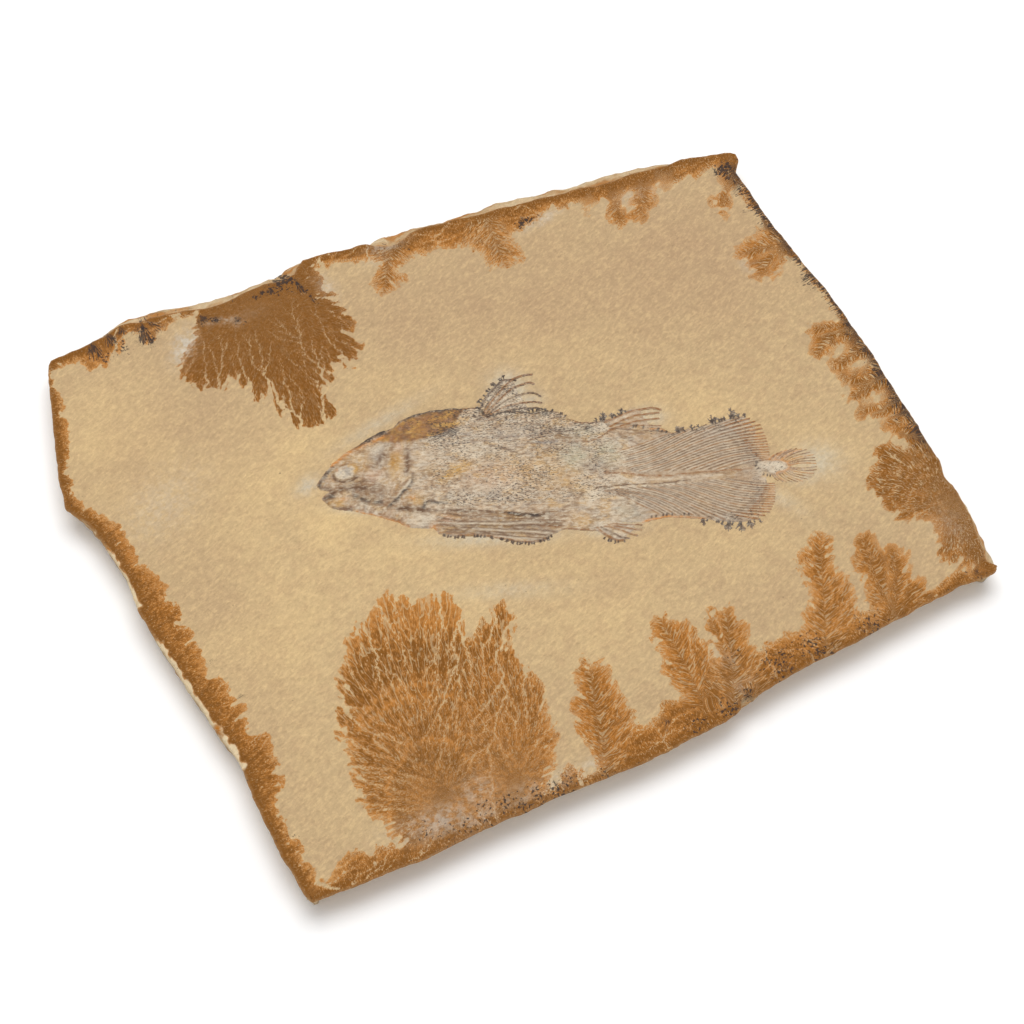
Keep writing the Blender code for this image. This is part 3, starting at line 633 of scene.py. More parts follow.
class StoneColours(bpy.types.PropertyGroup):
    """Colours of the limestone and of the minerals in it."""
    buff: colour_property("Buff", "Clean limestone", tint(194, 166, 125))
    # The yellow is made bright, so that its patches also paint light on the left and near side of
    # the bed.
    yellow: colour_property("Yellow", "Limestone tinted yellow", tint(226, 195, 140))
    # The pinkish grey's patches also paint shade on the far side of the bed.
    pink: colour_property("Pinkish grey", "Limestone tinted pinkish grey", tint(178, 146, 112))
    pale: colour_property("Pale", "Bleached and scraped places", tint(200, 187, 168))
    grey: colour_property("Grey", "Scraped halo round the fins", tint(198, 191, 172))
    brown: colour_property("Brown", "Dense iron stain", tint(126, 76, 8))
    orange: colour_property("Orange", "Thin iron stain", tint(184, 114, 34))
    black: colour_property("Black", "Manganese specks", tint(50, 43, 42))
    cream: colour_property("Cream", "Freshly broken edge", tint(224, 205, 168))


def mm_of(length):
    """A property's length in millimetres."""
    return length * 1000.0


def bed_height(x, y):
    """The upper bed: two crossed waves and a third across them, and soft bumps of two sizes."""
    sizes = bpy.context.scene.fossil_stone
    crossed = np.sin(x / 31.0 + 1.3) * np.cos(y / 43.0 - 0.7) + 0.6 * np.sin((x + y) / 57.0 + 2.1)
    bumps = noise(x * 0.9 + 0.25 * y, y - 0.2 * x, mm_of(sizes.pebble_size), 31)
    small = layered(x, y, mm_of(sizes.pebble_size) * 0.45, 2, 41)
    return (TOP + mm_of(sizes.swell_height) * crossed
            + mm_of(sizes.pebble_height) * (0.62 * bumps + 0.42 * small))


def rim_side(rows, following, count):
    """One side of the rim, evenly spaced from its first point to the next side's first."""
    return along(tuple(rows) + (following[0],), np.linspace(0.0, 1.0, count + 1))


def rim_sides():
    """The four sides on the lattice: near and far left to right, left and right near to far."""
    across, up = LATTICE
    far = rim_side(FAR_RIM, RIGHT_RIM, across)
    right = rim_side(RIGHT_RIM, NEAR_RIM, up)[::-1]
    near = rim_side(NEAR_RIM, LEFT_RIM, across)[::-1]
    left = rim_side(LEFT_RIM, FAR_RIM, up)
    return near, far, left, right


def rim_loop():
    """The rim as one closed anticlockwise run of x, y, ledge and undercut."""
    near, far, left, right = rim_sides()
    return np.concatenate((near[:-1], right[:-1], far[::-1][:-1], left[::-1][:-1]))


def loop_outward(loop, reach):
    """Unit directions out of a closed anticlockwise run, averaged over a reach along it."""
    ahead = np.roll(loop, -1, axis=0) - loop
    length = np.linalg.norm(ahead, axis=1)
    normal = np.stack([ahead[:, 1], -ahead[:, 0]], axis=1)
    width = int(reach / length.mean())
    kernel = np.concatenate((np.arange(1, width + 1), np.arange(width, 0, -1))).astype(float)
    wide = np.concatenate((normal[-width:], normal, normal[:width]))
    out = np.stack([np.convolve(wide[:, k], kernel, "same")[width:-width] for k in (0, 1)], axis=1)
    return out / np.linalg.norm(out, axis=1, keepdims=True)


def ragged_rim():
    """The rim with fractal wander, its outward directions, and its distance along."""
    rows = rim_loop()
    wander = mm_of(bpy.context.scene.fossil_stone.rim_raggedness)
    out = loop_outward(rows[:, :2], CORNER_REACH)
    x, y = rows[:, 0], rows[:, 1]
    shift = wander * (layered(x, y, 9.0, 4, 53) + 0.25 * layered(x, y, 2.2, 2, 59))
    plan = rows[:, :2] + out * shift[:, None]
    steps = np.linalg.norm(np.roll(plan, -1, axis=0) - plan, axis=1)
    place = np.concatenate(([0.0], np.cumsum(steps)[:-1]))
    return plan, rows[:, 2], rows[:, 3], out, place


def bed_lattice(border):
    """A Coons patch: each point blends the four sides of the border across and up the bed."""
    across, up = LATTICE
    near, right = border[:across + 1], border[across:across + up + 1]
    far = border[across + up:2 * across + up + 1][::-1]
    left = np.concatenate((border[2 * across + up:], border[:1]))[::-1]
    s = np.linspace(0, 1, across + 1)[:, None, None]
    t = np.linspace(0, 1, up + 1)[None, :, None]
    sides = ((1 - t) * near[:, None] + t * far[:, None]
             + (1 - s) * left[None, :] + s * right[None, :])
    corners = ((1 - s) * (1 - t) * near[0] + s * (1 - t) * near[-1]
               + (1 - s) * t * far[0] + s * t * far[-1])
    return sides - corners


def grow_stains(rim_depth):
    """The iron stains as a signed distance in millimetres, positive where the bed is stained.

    A front spreads from the rim and from each growth's root through a bed whose resistance varies
    from cell to cell, faster along the stems. Every cell remembers the neighbour that reached it
    first, so the cells form trees. Where two branches meet, a clean vein is left, and it is as
    wide as the branches are old: the longer ago they parted, the wider. The stain is what lies
    further from the veins than their half width, and inside the outlines.
    """
    step = GROWTH_STEP
    gx, gy = np.arange(*GROWTH_X, step), np.arange(*GROWTH_Y, step)
    x, y = np.meshgrid(gx, gy, indexing="ij")
    random = np.random.default_rng(bpy.context.scene.fossil_stone.growth_seed)
    depth = rim_depth.at(x, y)
    warp_x = x + 2.6 * layered(x, y, 7.0, 3, 61) + 1.4 * noise(x, y, 1.7, 67)
    warp_y = y + 2.6 * layered(x, y, 7.0, 3, 71) + 1.4 * noise(x, y, 1.7, 73)
    domain = ~inside_outline(CLEAR_BED, warp_x, warp_y)
    head = np.full(x.shape, np.inf)
    speed = np.ones(x.shape)
    for outline, root, stems, _, _, _ in GROWTHS.values():
        corners = np.array(outline, float)
        a, b = np.searchsorted(gx, (corners[:, 0].min() - 6, corners[:, 0].max() + 6))
        c, d = np.searchsorted(gy, (corners[:, 1].min() - 6, corners[:, 1].max() + 6))
        window = (slice(a, b), slice(c, d))
        wx, wy = x[window], y[window]
        spread = 1.6 if stems else 0.0
        domain[window] |= outline_depth(outline, warp_x[window], warp_y[window]) > -spread
        near_root, _ = line_distance(root, wx, wy)
        reach = np.ptp(corners, axis=0).max()
        head[window] = np.where(near_root < 1.2, np.minimum(head[window], -0.35 * reach),
                                head[window])
        for stem in stems:
            apart, _ = line_distance(stem, wx, wy)
            speed[window] = np.maximum(speed[window], 1.0 + 0.7 * np.exp(-(apart / 1.6) ** 2))
    domain &= depth > -1.5
    domain[[0, -1], :] = False
    domain[:, [0, -1]] = False
    head = np.where((depth < 0.8) & np.isinf(head), 0.0, head)

    rows = x.shape[1]
    cells = np.flatnonzero(domain)
    count = len(cells)
    lookup = np.full(x.size, count)
    lookup[cells] = np.arange(count)
    offsets = np.array((rows, -rows, 1, -1, rows + 1, rows - 1, -rows + 1, -rows - 1))
    spans = np.array([1.0] * 4 + [math.sqrt(2.0)] * 4) * step
    beside = lookup[cells[None, :] + offsets[:, None]]
    cost = (np.exp(0.40 * noise(x, y, 1.7, 79).ravel()[cells] + 0.42 * random.normal(size=count))
            / speed.ravel()[cells])
    arrival = np.append(head.ravel()[cells], np.inf)
    parent = np.arange(count)
    for _ in range(FRONT_ROUNDS):
        before = arrival[:-1].copy()
        best = before.copy()
        for near, span in zip(beside, spans):
            reached = arrival[near] + cost * span
            better = reached < best
            best = np.where(better, reached, best)
            parent = np.where(better, near, parent)
        arrival[:-1] = best
        if not (best < before).any():
            break
    reached = np.isfinite(arrival[:-1])
    arrival = np.where(np.isfinite(arrival), arrival, 0.0)[:-1]

    jumps = [parent]
    deep = (parent != np.arange(count)).astype(int)
    for _ in range(BRANCH_LEVELS):
        deep = deep + deep[jumps[-1]]
        jumps.append(jumps[-1][jumps[-1]])
    origin = jumps[-1]
    start = arrival[origin]
    clear = np.full(count + 1, np.inf)
    margin = np.full(count + 1, np.inf)
    flat_depth = depth.ravel()
    for near, offset in zip(beside, offsets):
        edge = (near == count) & (flat_depth[cells + offset] > 0.3)
        margin[:-1][edge] = 0.0
    for _ in range(MARGIN_ROUNDS):
        for near, span in zip(beside, spans):
            margin[:-1] = np.minimum(margin[:-1], margin[near] + span)
    for near in (beside[0], beside[2]):
        here = np.flatnonzero(near < count)
        a, b = here, near[here]
        top_a, top_b = a.copy(), b.copy()
        for level in range(len(jumps) - 1, -1, -1):
            lower = deep[top_a] - deep[top_b] >= 2 ** level
            top_a = np.where(lower, jumps[level][top_a], top_a)
            lower = deep[top_b] - deep[top_a] >= 2 ** level
            top_b = np.where(lower, jumps[level][top_b], top_b)
        for level in range(len(jumps) - 1, -1, -1):
            apart = jumps[level][top_a] != jumps[level][top_b]
            top_a = np.where(apart, jumps[level][top_a], top_a)
            top_b = np.where(apart, jumps[level][top_b], top_b)
        shared = np.where(top_a == top_b, top_a, parent[top_a])
        split = np.where(origin[a] == origin[b], arrival[shared], np.minimum(start[a], start[b]))
        age = np.maximum(arrival[a], arrival[b]) - split
        edge = np.exp(-np.minimum(margin[a], margin[b]) / 4.0)
        half = smooth(6.0, 60.0, age) * (0.26 + 0.75 * edge) - 0.13
        half = np.where(age > 3.5, half - 0.30 * smooth(14.0, 5.0, age), -9.0)
        for side in (a, b):
            np.minimum.at(clear, side, -half)
    for _ in range(VEIN_ROUNDS):
        for near, span in zip(beside, spans):
            clear[:-1] = np.minimum(clear[:-1], clear[near] + span)
    stain = np.full(x.size, -1.6)
    stain[cells] = np.where(reached, np.minimum(np.clip(clear[:-1], -1.6, 2.0), margin[:-1] - 0.1),
                            -1.6)
    stain = stain.reshape(x.shape)
    inner = np.zeros(x.size)
    inner[cells] = np.clip(margin[:-1], 0.0, 15.0)
    return [Field(GROWTH_X[0], GROWTH_Y[0], step, values.astype(np.float32))
            for values in (stain, inner.reshape(x.shape))]


def coarse_rim_depth(rim):
    """How far inside the rim each place lies, and where along the rim, on a 2 mm grid."""
    low_x, low_y, step = -231.0, -195.0, 2.0
    x, y = np.meshgrid(np.arange(low_x, 233.0, step), np.arange(low_y, 193.0, step),
                       indexing="ij")
    outline = tuple(map(tuple, rim[::6]))
    apart, place = line_distance(outline + outline[:1], x, y)
    depth = np.where(inside_outline(outline, x, y), apart, -apart)
    return Field(low_x, low_y, step, depth), Field(low_x, low_y, step, place)


def loop_cells():
    """Lattice places of the border, anticlockwise from the near left corner."""
    across, up = LATTICE
    i = np.concatenate((np.arange(across), np.full(up, across), np.arange(across, 0, -1),
                        np.zeros(up, int)))
    j = np.concatenate((np.zeros(across, int), np.arange(up), np.full(across, up),
                        np.arange(up, 0, -1)))
    return i, j


def bed_faces(levels):
    """Faces of the bed: blocks of 4 by 4 cells kept whole, or split in 2 or in 4 each way.

    A face also takes in every point that a finer neighbour has on its border, so no gap is left.
    """
    across, up = LATTICE
    used = np.zeros((across + 1, up + 1), bool)
    cells = []
    for level, size in enumerate((4, 2, 1)):
        block_i, block_j = np.nonzero(levels == level)
        inner = np.arange(0, 4, size)
        i = (block_i[:, None, None] * 4 + inner[:, None] + 0 * inner).ravel()
        j = (block_j[:, None, None] * 4 + 0 * inner[:, None] + inner).ravel()
        cells.append((size, i, j))
        for di, dj in ((0, 0), (size, 0), (0, size), (size, size)):
            used[i + di, j + dj] = True
    i, j = loop_cells()
    used[i[::WALL_STEP], j[::WALL_STEP]] = True
    flat = used.ravel()
    number = np.cumsum(flat) - 1
    corners, counts = [], []
    for size, i, j in cells:
        run, flat_run = np.arange(size), np.zeros(size, int)
        ring_i = np.concatenate((run, flat_run + size, size - run, flat_run))
        ring_j = np.concatenate((flat_run, run, flat_run + size, size - run))
        index = (i[:, None] + ring_i) * (up + 1) + j[:, None] + ring_j
        keep = flat[index]
        corners.append(number[index[keep]])
        counts.append(keep.sum(axis=1))
    return used, number.reshape(used.shape), corners, counts


def wall_rings(plan, ledge, under, out, place, rise):
    """Rings of the broken wall below the rim, from the rows of WALL, with ragged bedding."""
    rings = []
    for height, under_share, ledge_share, inset, wander in WALL:
        ragged = (layered(place, np.full(place.shape, height * 6.0), 7.0, 3, 83)
                  + 0.5 * noise(place, np.full(place.shape, height * 9.0), 2.6, 89))
        shift = ledge * ledge_share - under * under_share - inset + wander * ragged
        flat = plan + out * shift[:, None]
        z = height + rise * height / TOP
        if 0.0 < height < 17.0:
            z = z + 0.25 * noise(place, np.full(place.shape, height), 9.0, 97)
        rings.append(np.column_stack([flat, z]))
    return rings


def bed_paint(x, y, stain, inner, rim_depth, rim_place):
    """What the upper bed carries at each place, by the names of the attributes that hold it."""
    depth, place = rim_depth.at(x, y), rim_place.at(x, y)
    tone = 0.62 + 0.12 * layered(x, y, 16.0, 2, 101)
    orange = 0.30 + 0.25 * layered(x, y, 22.0, 2, 103)
    strength = 0.94 + 0.05 * smooth(-150.0, -170.0, x)
    spared = np.full(x.shape, 0.25)
    across, along_line, flank = place.copy(), 2.1 * depth, np.zeros(x.shape)
    veins = np.zeros(x.shape)
    for name, (outline, root, stems, dark, rusty, strong) in GROWTHS.items():
        corners = np.array(outline, float)
        low, high = corners.min(axis=0) - 8, corners.max(axis=0) + 8
        near = np.flatnonzero((x > low[0]) & (x < high[0]) & (y > low[1]) & (y < high[1]))
        px, py = x[near], y[near]
        inside = smooth(-4.0, 3.0, outline_depth(outline, px, py))
        centre = np.mean(np.array(root, float), axis=0)
        out_x, out_y = px - centre[0], py - centre[1]
        radius = np.hypot(out_x, out_y)
        shade = dark + 0.10 * layered(px, py, 12.0, 2, 107)
        if name == "near_left_fan":
            bearing = np.arctan2(out_y, out_x)
            uneven = radius + 4.0 * np.sin(bearing * 3.0) + 2.5 * noise(px, py, 11.0, 131)
            shade = shade + 0.14 * np.exp(-((uneven - 80.0) / 11.0) ** 2)
            shade = shade + 0.16 * np.exp(-((uneven - 24.0) / 7.0) ** 2)
            dashes = 0.5 + 0.7 * noise(bearing * 40.0, radius * 0.5, 1.0, 137)
            for far in (31.0, 57.0, 64.0):
                shade = shade - 0.5 * dashes * np.exp(-((uneven - far) / 1.6) ** 2)
            shade = shade - 0.30 * smooth(88.0, 104.0, uneven)
        if name == "far_left_fan":
            shade = shade + 0.12 * smooth(60.0, 20.0, radius)
        for values, wanted in ((tone, shade), (orange, rusty), (strength, strong)):
            values[near] += (wanted - values[near]) * inside
        side_on = np.arctan2(out_y, out_x) * 85.0 + 400.0
        forward = 85.0 * np.log(radius + 4.0)
        side_of = np.zeros(px.shape)
        if stems:
            beyond = [np.vstack([stem, 3.0 * np.array(stem[-1]) - 2.0 * np.array(stem[-2])])
                      for stem in stems]
            nearest = [line_distance(stem, px, py) for stem in beyond]
            pick = np.argmin([apart for apart, _ in nearest], axis=0)
            apart = np.choose(pick, [apart for apart, _ in nearest])
            passed = np.choose(pick, [stem_place for _, stem_place in nearest])
            side_on, forward = passed - 0.85 * apart + 60.0 * pick, 1.3 * apart
            sides = [(px - stem[0][0]) * (stem[-1][1] - stem[0][1])
                     > (py - stem[0][1]) * (stem[-1][0] - stem[0][0]) for stem in stems]
            side_of = 4.0 * np.choose(pick, sides)
        here = inside > 0.5
        vein = 0.35 if dark > 1.0 else 1.5 if centre[0] > LACY_SIDE else 1.0
        for values, wanted in ((spared, 0.22 if stems else 0.0), (veins, vein),
                               (across, side_on), (along_line, forward), (flank, side_of)):
            values[near] = np.where(here, wanted, values[near])
    soot = np.zeros(x.shape)
    for root_x, root_y, heading, spread, length, weight in SOOT_FANS:
        out_x, out_y = x - root_x, y - root_y
        radius = np.hypot(out_x, out_y)
        turned = np.degrees(np.arctan2(out_y, out_x)) - heading
        turned = (turned + 180.0) % 360.0 - 180.0
        share = (smooth(spread + 14.0, spread - 8.0, abs(turned))
                 * smooth(1.1 * length, 0.5 * length, radius)
                 * smooth(spread + 40.0, 0.0, abs(turned)))
        here = share > 0.25
        across[here] = np.radians(turned[here]) * 13.0 + root_x
        along_line[here] = 2.0 * radius[here]
        soot = np.maximum(soot, weight * share)
    margin = inner.at(x, y)
    notch = (noise(across * 0.30 + 5.3 * flank, along_line * 0.03, 1.0, 113)
             + 0.3 * noise(x, y, 2.5, 117))
    cut = smooth(0.0, 0.35, notch - 0.02 - spared - 0.08 * margin)
    level = stain.at(x, y) - 1.5 * cut * (1.0 - smooth(6.0, 10.0, margin))
    tone = tone - 0.30 * (1.0 - smooth(0.5, 8.0, margin)) + 0.30 * smooth(9.0, 2.0, depth)
    strength = strength - 0.08 * smooth(150.0, 180.0, x) * smooth(-70.0, -50.0, y)
    fray = np.where(strength > 0.97, 0.20, 0.36)
    strength = strength - fray * (1.0 - smooth(0.2, 4.5, margin))
    orange = orange + 0.30 * (1.0 - smooth(0.0, 6.0, margin))

    black = patches(tuple((px, py, reach, reach, 0, weight)
                          for px, py, reach, weight in BLACK_SPOTS), x, y)
    right = smooth(170.0, 205.0, x + 0.02 * y) * smooth(-95.0, -70.0, y) * smooth(145.0, 134.0, y)
    spines = 8.6 + 4.0 * noise(place, depth, 7.0, 109)
    soot = np.maximum(soot, right * np.clip(1.0 - 0.9 * depth / spines, 0.0, 0.8))
    rest = 0.30 * smooth(6.0, 0.0, depth) * (0.6 + 0.6 * noise(x, y, 9.0, 127))
    black = np.maximum(black, rest)
    chip = np.zeros(x.shape)
    for half, *points in CHIPPED_RIM:
        apart, _ = line_distance(pairs(*points), x, y)
        width = half * (1.0 + 0.45 * noise(x, y, 3.0, 139))
        chip = np.maximum(chip, smooth(width + 0.5, width - 0.4, apart)
                          * smooth(-1.00, -0.45, noise(place, depth, 12.0, 141)))
    return {
        "stain": level, "tone": tone, "orange": orange, "strength": strength, "veins": veins,
        "black": black, "soot": soot, "wall": 2.0 * chip, "pale": patches(PALE_PATCHES, x, y),
        # The yellow patches also paint light on the left and near side, and the pink ones paint
        # shade on the far side.
        "yellow": patches(YELLOW_AND_LIGHT_PATCHES, x, y), "pink": patches(PINK_AND_SHADE_PATCHES, x, y),
        "halo": patches(HALO_PATCHES, x, y),
        "grow": np.column_stack([across, along_line, flank]),
    }


def refine_levels(stain, lattice):
    """How finely each block is split: in 4 where stains have most detail, in 2 by the fish."""
    middle = lattice[2::4, 2::4]
    x, y = middle[..., 0], middle[..., 1]
    edge = np.zeros(x.shape)
    for di in (-1.5, 0.0, 1.5):
        for dj in (-1.5, 0.0, 1.5):
            edge = np.maximum(edge, smooth(-1.5, 0.3, stain.at(x + di, y + dj)))
    u, v = to_fish(x, y)
    inside = fish_depth(u, v)
    levels = np.where(abs(inside) < 7.0, 1, 0)
    rank = np.argsort(-edge.ravel(), kind="stable")[:FINE_BLOCKS]
    chosen = rank[edge.ravel()[rank] > 0.02]
    levels.ravel()[chosen] = 2
    return levels


def gathered(items, name, width=1, kind=np.float32):
    """One value, or a row of width values, of every item of a mesh's run."""
    values = np.empty(len(items) * width, kind)
    items.foreach_get(name, values)
    return values if width == 1 else values.reshape(-1, width)


def stone_uv(item, count_top, rim_box):
    """The bed takes most of the map; the four walls are strips above it, the underside one more."""
    mesh = item.data
    corner = gathered(mesh.loops, "vertex_index", kind=np.int32)
    points = gathered(mesh.vertices, "co", 3)[corner] / MM
    faces = gathered(mesh.polygons, "loop_total", kind=np.int32)
    face = np.repeat(np.arange(len(faces)), faces)
    normals = gathered(mesh.polygons, "normal", 3)[face]
    low, span = rim_box
    x, y = (points[:, 0] - low[0]) / span[0], (points[:, 1] - low[1]) / span[1]
    bottom = face == len(faces) - 1
    wall = (face >= count_top) & ~bottom
    sideways = abs(normals[:, 0]) > abs(normals[:, 1])
    strip = np.where(sideways, np.where(normals[:, 0] > 0, 0, 1),
                     np.where(normals[:, 1] > 0, 2, 3))
    u = 0.004 + 0.992 * np.where(wall & sideways, y, x)
    v = np.where(bottom, 0.95 + 0.045 * y, 0.004 + 0.80 * y)
    v = np.where(wall, 0.812 + 0.034 * strip + 0.0016 * np.clip(points[:, 2], 0, 19), v)
    layer = mesh.uv_layers.new(name="OFBake")
    layer.data.foreach_set("uv", np.column_stack([u, v]).astype(np.float32).ravel())


def build_stone():
    """The plate: a bed on a Coons lattice, split by blocks, and ragged walls to a flat base."""
    plan, ledge, under, out, place = ragged_rim()
    rim_depth, rim_place = coarse_rim_depth(plan)
    stain, inner = grow_stains(rim_depth)
    border = plan - out * RIM_INSET
    lattice = bed_lattice(border)
    levels = refine_levels(stain, lattice)
    used, number, corners, counts = bed_faces(levels)
    count_top = sum(len(part) for part in counts)
    x, y = lattice[used][:, 0], lattice[used][:, 1]
    u, v = to_fish(x, y)
    z = bed_height(x, y) + bed_dents(x, y, fish_depth(u, v))

    i, j = loop_cells()
    loop = number[i, j]
    seen = used[i, j]
    columns = slice(None, None, WALL_STEP)
    rise = bed_height(border[columns, 0], border[columns, 1]) - TOP
    rings = wall_rings(plan[columns], ledge[columns], under[columns], out[columns],
                       place[columns], rise)
    around = len(rise)
    first = len(x) + np.arange(around)
    following = np.roll(first, -1)
    top = loop.reshape(around, WALL_STEP)
    after = np.roll(top[:, 0], -1)
    rows = np.column_stack([first, following, after, top[:, ::-1]])
    keep = np.ones(rows.shape, bool)
    keep[:, 3:] = seen.reshape(around, WALL_STEP)[:, ::-1]
    corners.append(rows[keep])
    counts.append(keep.sum(axis=1))
    for ring in range(1, len(WALL)):
        low = first + ring * around
        low_next = following + ring * around
        corners.append(np.column_stack([low, low_next, low_next - around, low - around]).ravel())
        counts.append(np.full(around, 4))
    corners.append((first + (len(WALL) - 1) * around)[::-1])
    counts.append([around])

    points = np.concatenate([np.column_stack([x, y, z])] + rings)
    item = new_mesh("slab_stone", points, np.concatenate(corners), np.concatenate(counts))
    stone_uv(item, count_top, (points[:, :2].min(axis=0), np.ptp(points[:, :2], axis=0)))
    paint = bed_paint(points[:, 0], points[:, 1], stain, inner, rim_depth, rim_place)
    foot = points[:, 2] - 17.5 + 3.6 * paint["wall"]
    foot += 4.2 * layered(points[:, 0] - points[:, 1], points[:, 2] * 1.2, 9.0, 3, 151)
    paint["wall"] *= smooth(0.0, 2.5, foot)
    sides = slice(len(x), None)
    bare = np.repeat([0.15, 0.55] + [1.0] * (len(WALL) - 2), around)
    paint["wall"][sides] = np.maximum(paint["wall"][sides], bare)
    edge = np.tile(loop[columns], len(WALL))
    for name in ("stain", "tone", "orange", "strength", "black", "soot", "pale"):
        paint[name][sides] = paint[name][edge]
    paint["stain"][sides] = np.maximum(paint["stain"][sides], 0.6)
    down = points[sides, 2]
    down = down + 2.5 * noise(np.tile(place[columns], len(WALL)), down, 4.0, 149)
    paint["soot"][sides] *= 0.85 * smooth(8.0, 16.0, down)
    paint["black"][sides] *= smooth(6.0, 15.0, down)
    for name, values in paint.items():
        store(item, name, values)
    item.data.materials.append(stone_material())
    finish_piece(item, "slab")
    return item


def bed_dents(x, y, inside):
    """The bed sinks under the fish, where it is hidden, and is flaked away in a few places."""
    sunk = -1.8 * smooth(0.9, 3.0, inside)
    return sunk - 1.6 * patches(FLAKES, x, y) - 0.5 * patches(PITS, x, y)


def stone_material():
    """Buff limestone under iron stain and manganese specks, all read from the piece's values."""
    colours = bpy.context.scene.fossil_stone_colours
    material, n, place, grain = open_material("Limestone", 0.44)

    broad = n.noise(place, 26.0, 3.0, 0.6)
    middle = n.noise(place, 130.0, 3.0, 0.6)
    blotch = n.plus(n.times(broad, 0.6), n.times(middle, 0.4))
    # Yellow and pinkish grey tints of the stone, which also carry painted light: brighter on the
    # left and near side, darker on the far side.
    base = n.mix(n.times(n.value("yellow"), n.band(blotch, 0.30, 0.70, 0.25, 0.9)),
                 colours.buff, colours.yellow)
    base = n.mix(n.times(n.value("pink"), n.band(blotch, 0.32, 0.68, 0.9, 0.2)),
                 base, colours.pink)
    turned = n.add("ShaderNodeVectorRotate", {"Vector": place, "Angle": math.radians(-25.0)},
                   rotation_type="Z_AXIS").outputs[0]
    ripple = n.noise(n.scaled(turned, (300.0, 640.0, 300.0)), 1.0, 4.0, 0.66)
    base = n.mix(n.band(middle, 0.40, 0.68, 0.0, 0.34), base, colours.pink)
    base = n.mix(n.band(ripple, 0.46, 0.68, 0.0, 0.22), base, colours.yellow)
    cloud = n.noise(place, 300.0, 3.0, 0.65)
    pale = n.times(n.value("pale"), n.band(cloud, 0.36, 0.62, 0.25, 1.25), clamp=True)
    base = n.mix(pale, base, colours.pale)
    halo = n.times(n.value("halo"), n.band(cloud, 0.30, 0.65, 0.45, 1.0))
    base = n.mix(n.times(halo, 1.25), base, colours.grey)

    # The broken wall: a wall value of 1 is weathered, and of 2 freshly chipped.
    height = n.times(n.add("ShaderNodeSeparateXYZ", {0: place}).outputs["Z"], 1000.0)
    layers = n.noise(n.scaled(place, (40.0, 40.0, 900.0)), 1.0, 3.0, 0.65)
    chip = n.minus(n.value("wall"), 1.0, clamp=True)
    wall = n.math("MINIMUM", n.value("wall"), 1.0)
    cream = n.mix(n.times(n.band(layers, 0.35, 0.62), n.minus(1.0, chip)),
                  colours.cream, colours.buff)
    stripe = n.times(n.band(layers, 0.50, 0.66, 0.0, 0.75), wall)
    rusty = n.times(n.band(height, 12.5, 17.5), n.band(cloud, 0.35, 0.6, 0.2, 1.0))
    rusty = n.times(n.math("MAXIMUM", stripe, rusty), n.times_plus(chip, -0.85, 1.0))
    base = n.mix(wall, base, n.mix(rusty, cream, colours.orange))

    # The iron stain: its edge is frayed by fibres that follow the growth, and veins part it.
    fine = n.noise(place, 2300.0, 2.0, 0.6)
    grow = n.vector("grow")
    fibre = n.noise(n.scaled(grow, (1.0 / 0.90, 1.0 / 3.6, 1.0)), 1.0, 3.0, 0.62, 0.5)
    feather = n.noise(n.scaled(grow, (1.0 / 0.42, 1.0 / 1.7, 1.0)), 1.0, 2.0, 0.6, 0.3)
    rough = n.plus(n.plus(n.swing(fibre, 1.5), n.swing(fine, 0.9)), n.swing(feather, 1.7))
    level = n.plus(n.value("stain"), n.times(rough, 0.95))
    cover = n.plus(n.value("strength"), n.times(rough, 1.05))
    streaks = n.noise(n.scaled(grow, (1.0 / 0.62, 1.0 / 4.2, 1.0)), 1.0, 3.0, 0.55, 0.4)
    veins = n.noise(n.scaled(grow, (1.0 / 3.2, 1.0 / 14.0, 1.0)), 1.0, 1.0, 0.5, 0.3)
    veins = n.math("ABSOLUTE", n.times_plus(n.minus(fine, 0.5), 0.05, n.minus(veins, 0.5)))
    veins = n.times(n.band(veins, 0.030, 0.010, 0.0, 0.56), n.value("veins"))
    mask = n.times(n.band(level, -0.10, 0.30), n.band(cover, 0.38, 0.66, 0.0, 0.98))
    for share in (n.band(streaks, 0.53, 0.66, 1.0, 0.78), n.minus(1.0, veins),
                  n.minus(1.0, n.times(wall, 0.75)), n.times_plus(pale, -0.55, 1.0),
                  n.band(n.plus(chip, n.times(rough, 0.4)), 0.3, 0.7, 1.0, 0.12)):
        mask = n.times(mask, share)
    deep = n.plus(n.value("tone"), n.times(rough, 0.30))
    deep = n.plus(deep, n.band(level, 0.1, 1.3, -0.18, 0.20))
    deep = n.minus(deep, n.band(streaks, 0.50, 0.64, 0.0, 0.34))
    rust = n.mix(n.times(n.value("orange"), n.band(middle, 0.35, 0.65, 0.5, 1.0)),
                 colours.orange, n.mix(0.35, colours.orange, colours.yellow))
    colour = n.mix(mask, base, n.mix(n.band(deep, 0.05, 0.95), rust, colours.brown))

    # The manganese: specks, and sooty dashes that follow the growth.
    specks = n.group("Mineral Specks", Place=place, Size=620.0,
                     Density=n.math("MINIMUM", n.value("black"), 1.0))
    colour = n.mix(n.times(specks["Mask"], 0.88), colour, colours.black)
    dashes = n.noise(n.scaled(grow, (1.0 / 0.95, 1.0 / 9.0, 1.0)), 1.0, 2.0, 0.6, 0.5)
    dashes = n.times_plus(n.minus(dashes, 0.5), 3.2, n.value("soot"))
    sooty = n.band(n.times_plus(n.minus(fine, 0.5), 0.6, dashes), 0.54, 0.68)
    sooty = n.times(sooty, n.band(n.value("soot"), 0.02, 0.16))
    colour = n.mix(n.times(sooty, 0.86), colour, colours.black)
    shade = n.times(grain["Shade"], n.times_plus(n.minus(ripple, 0.5), 0.50, 1.0))

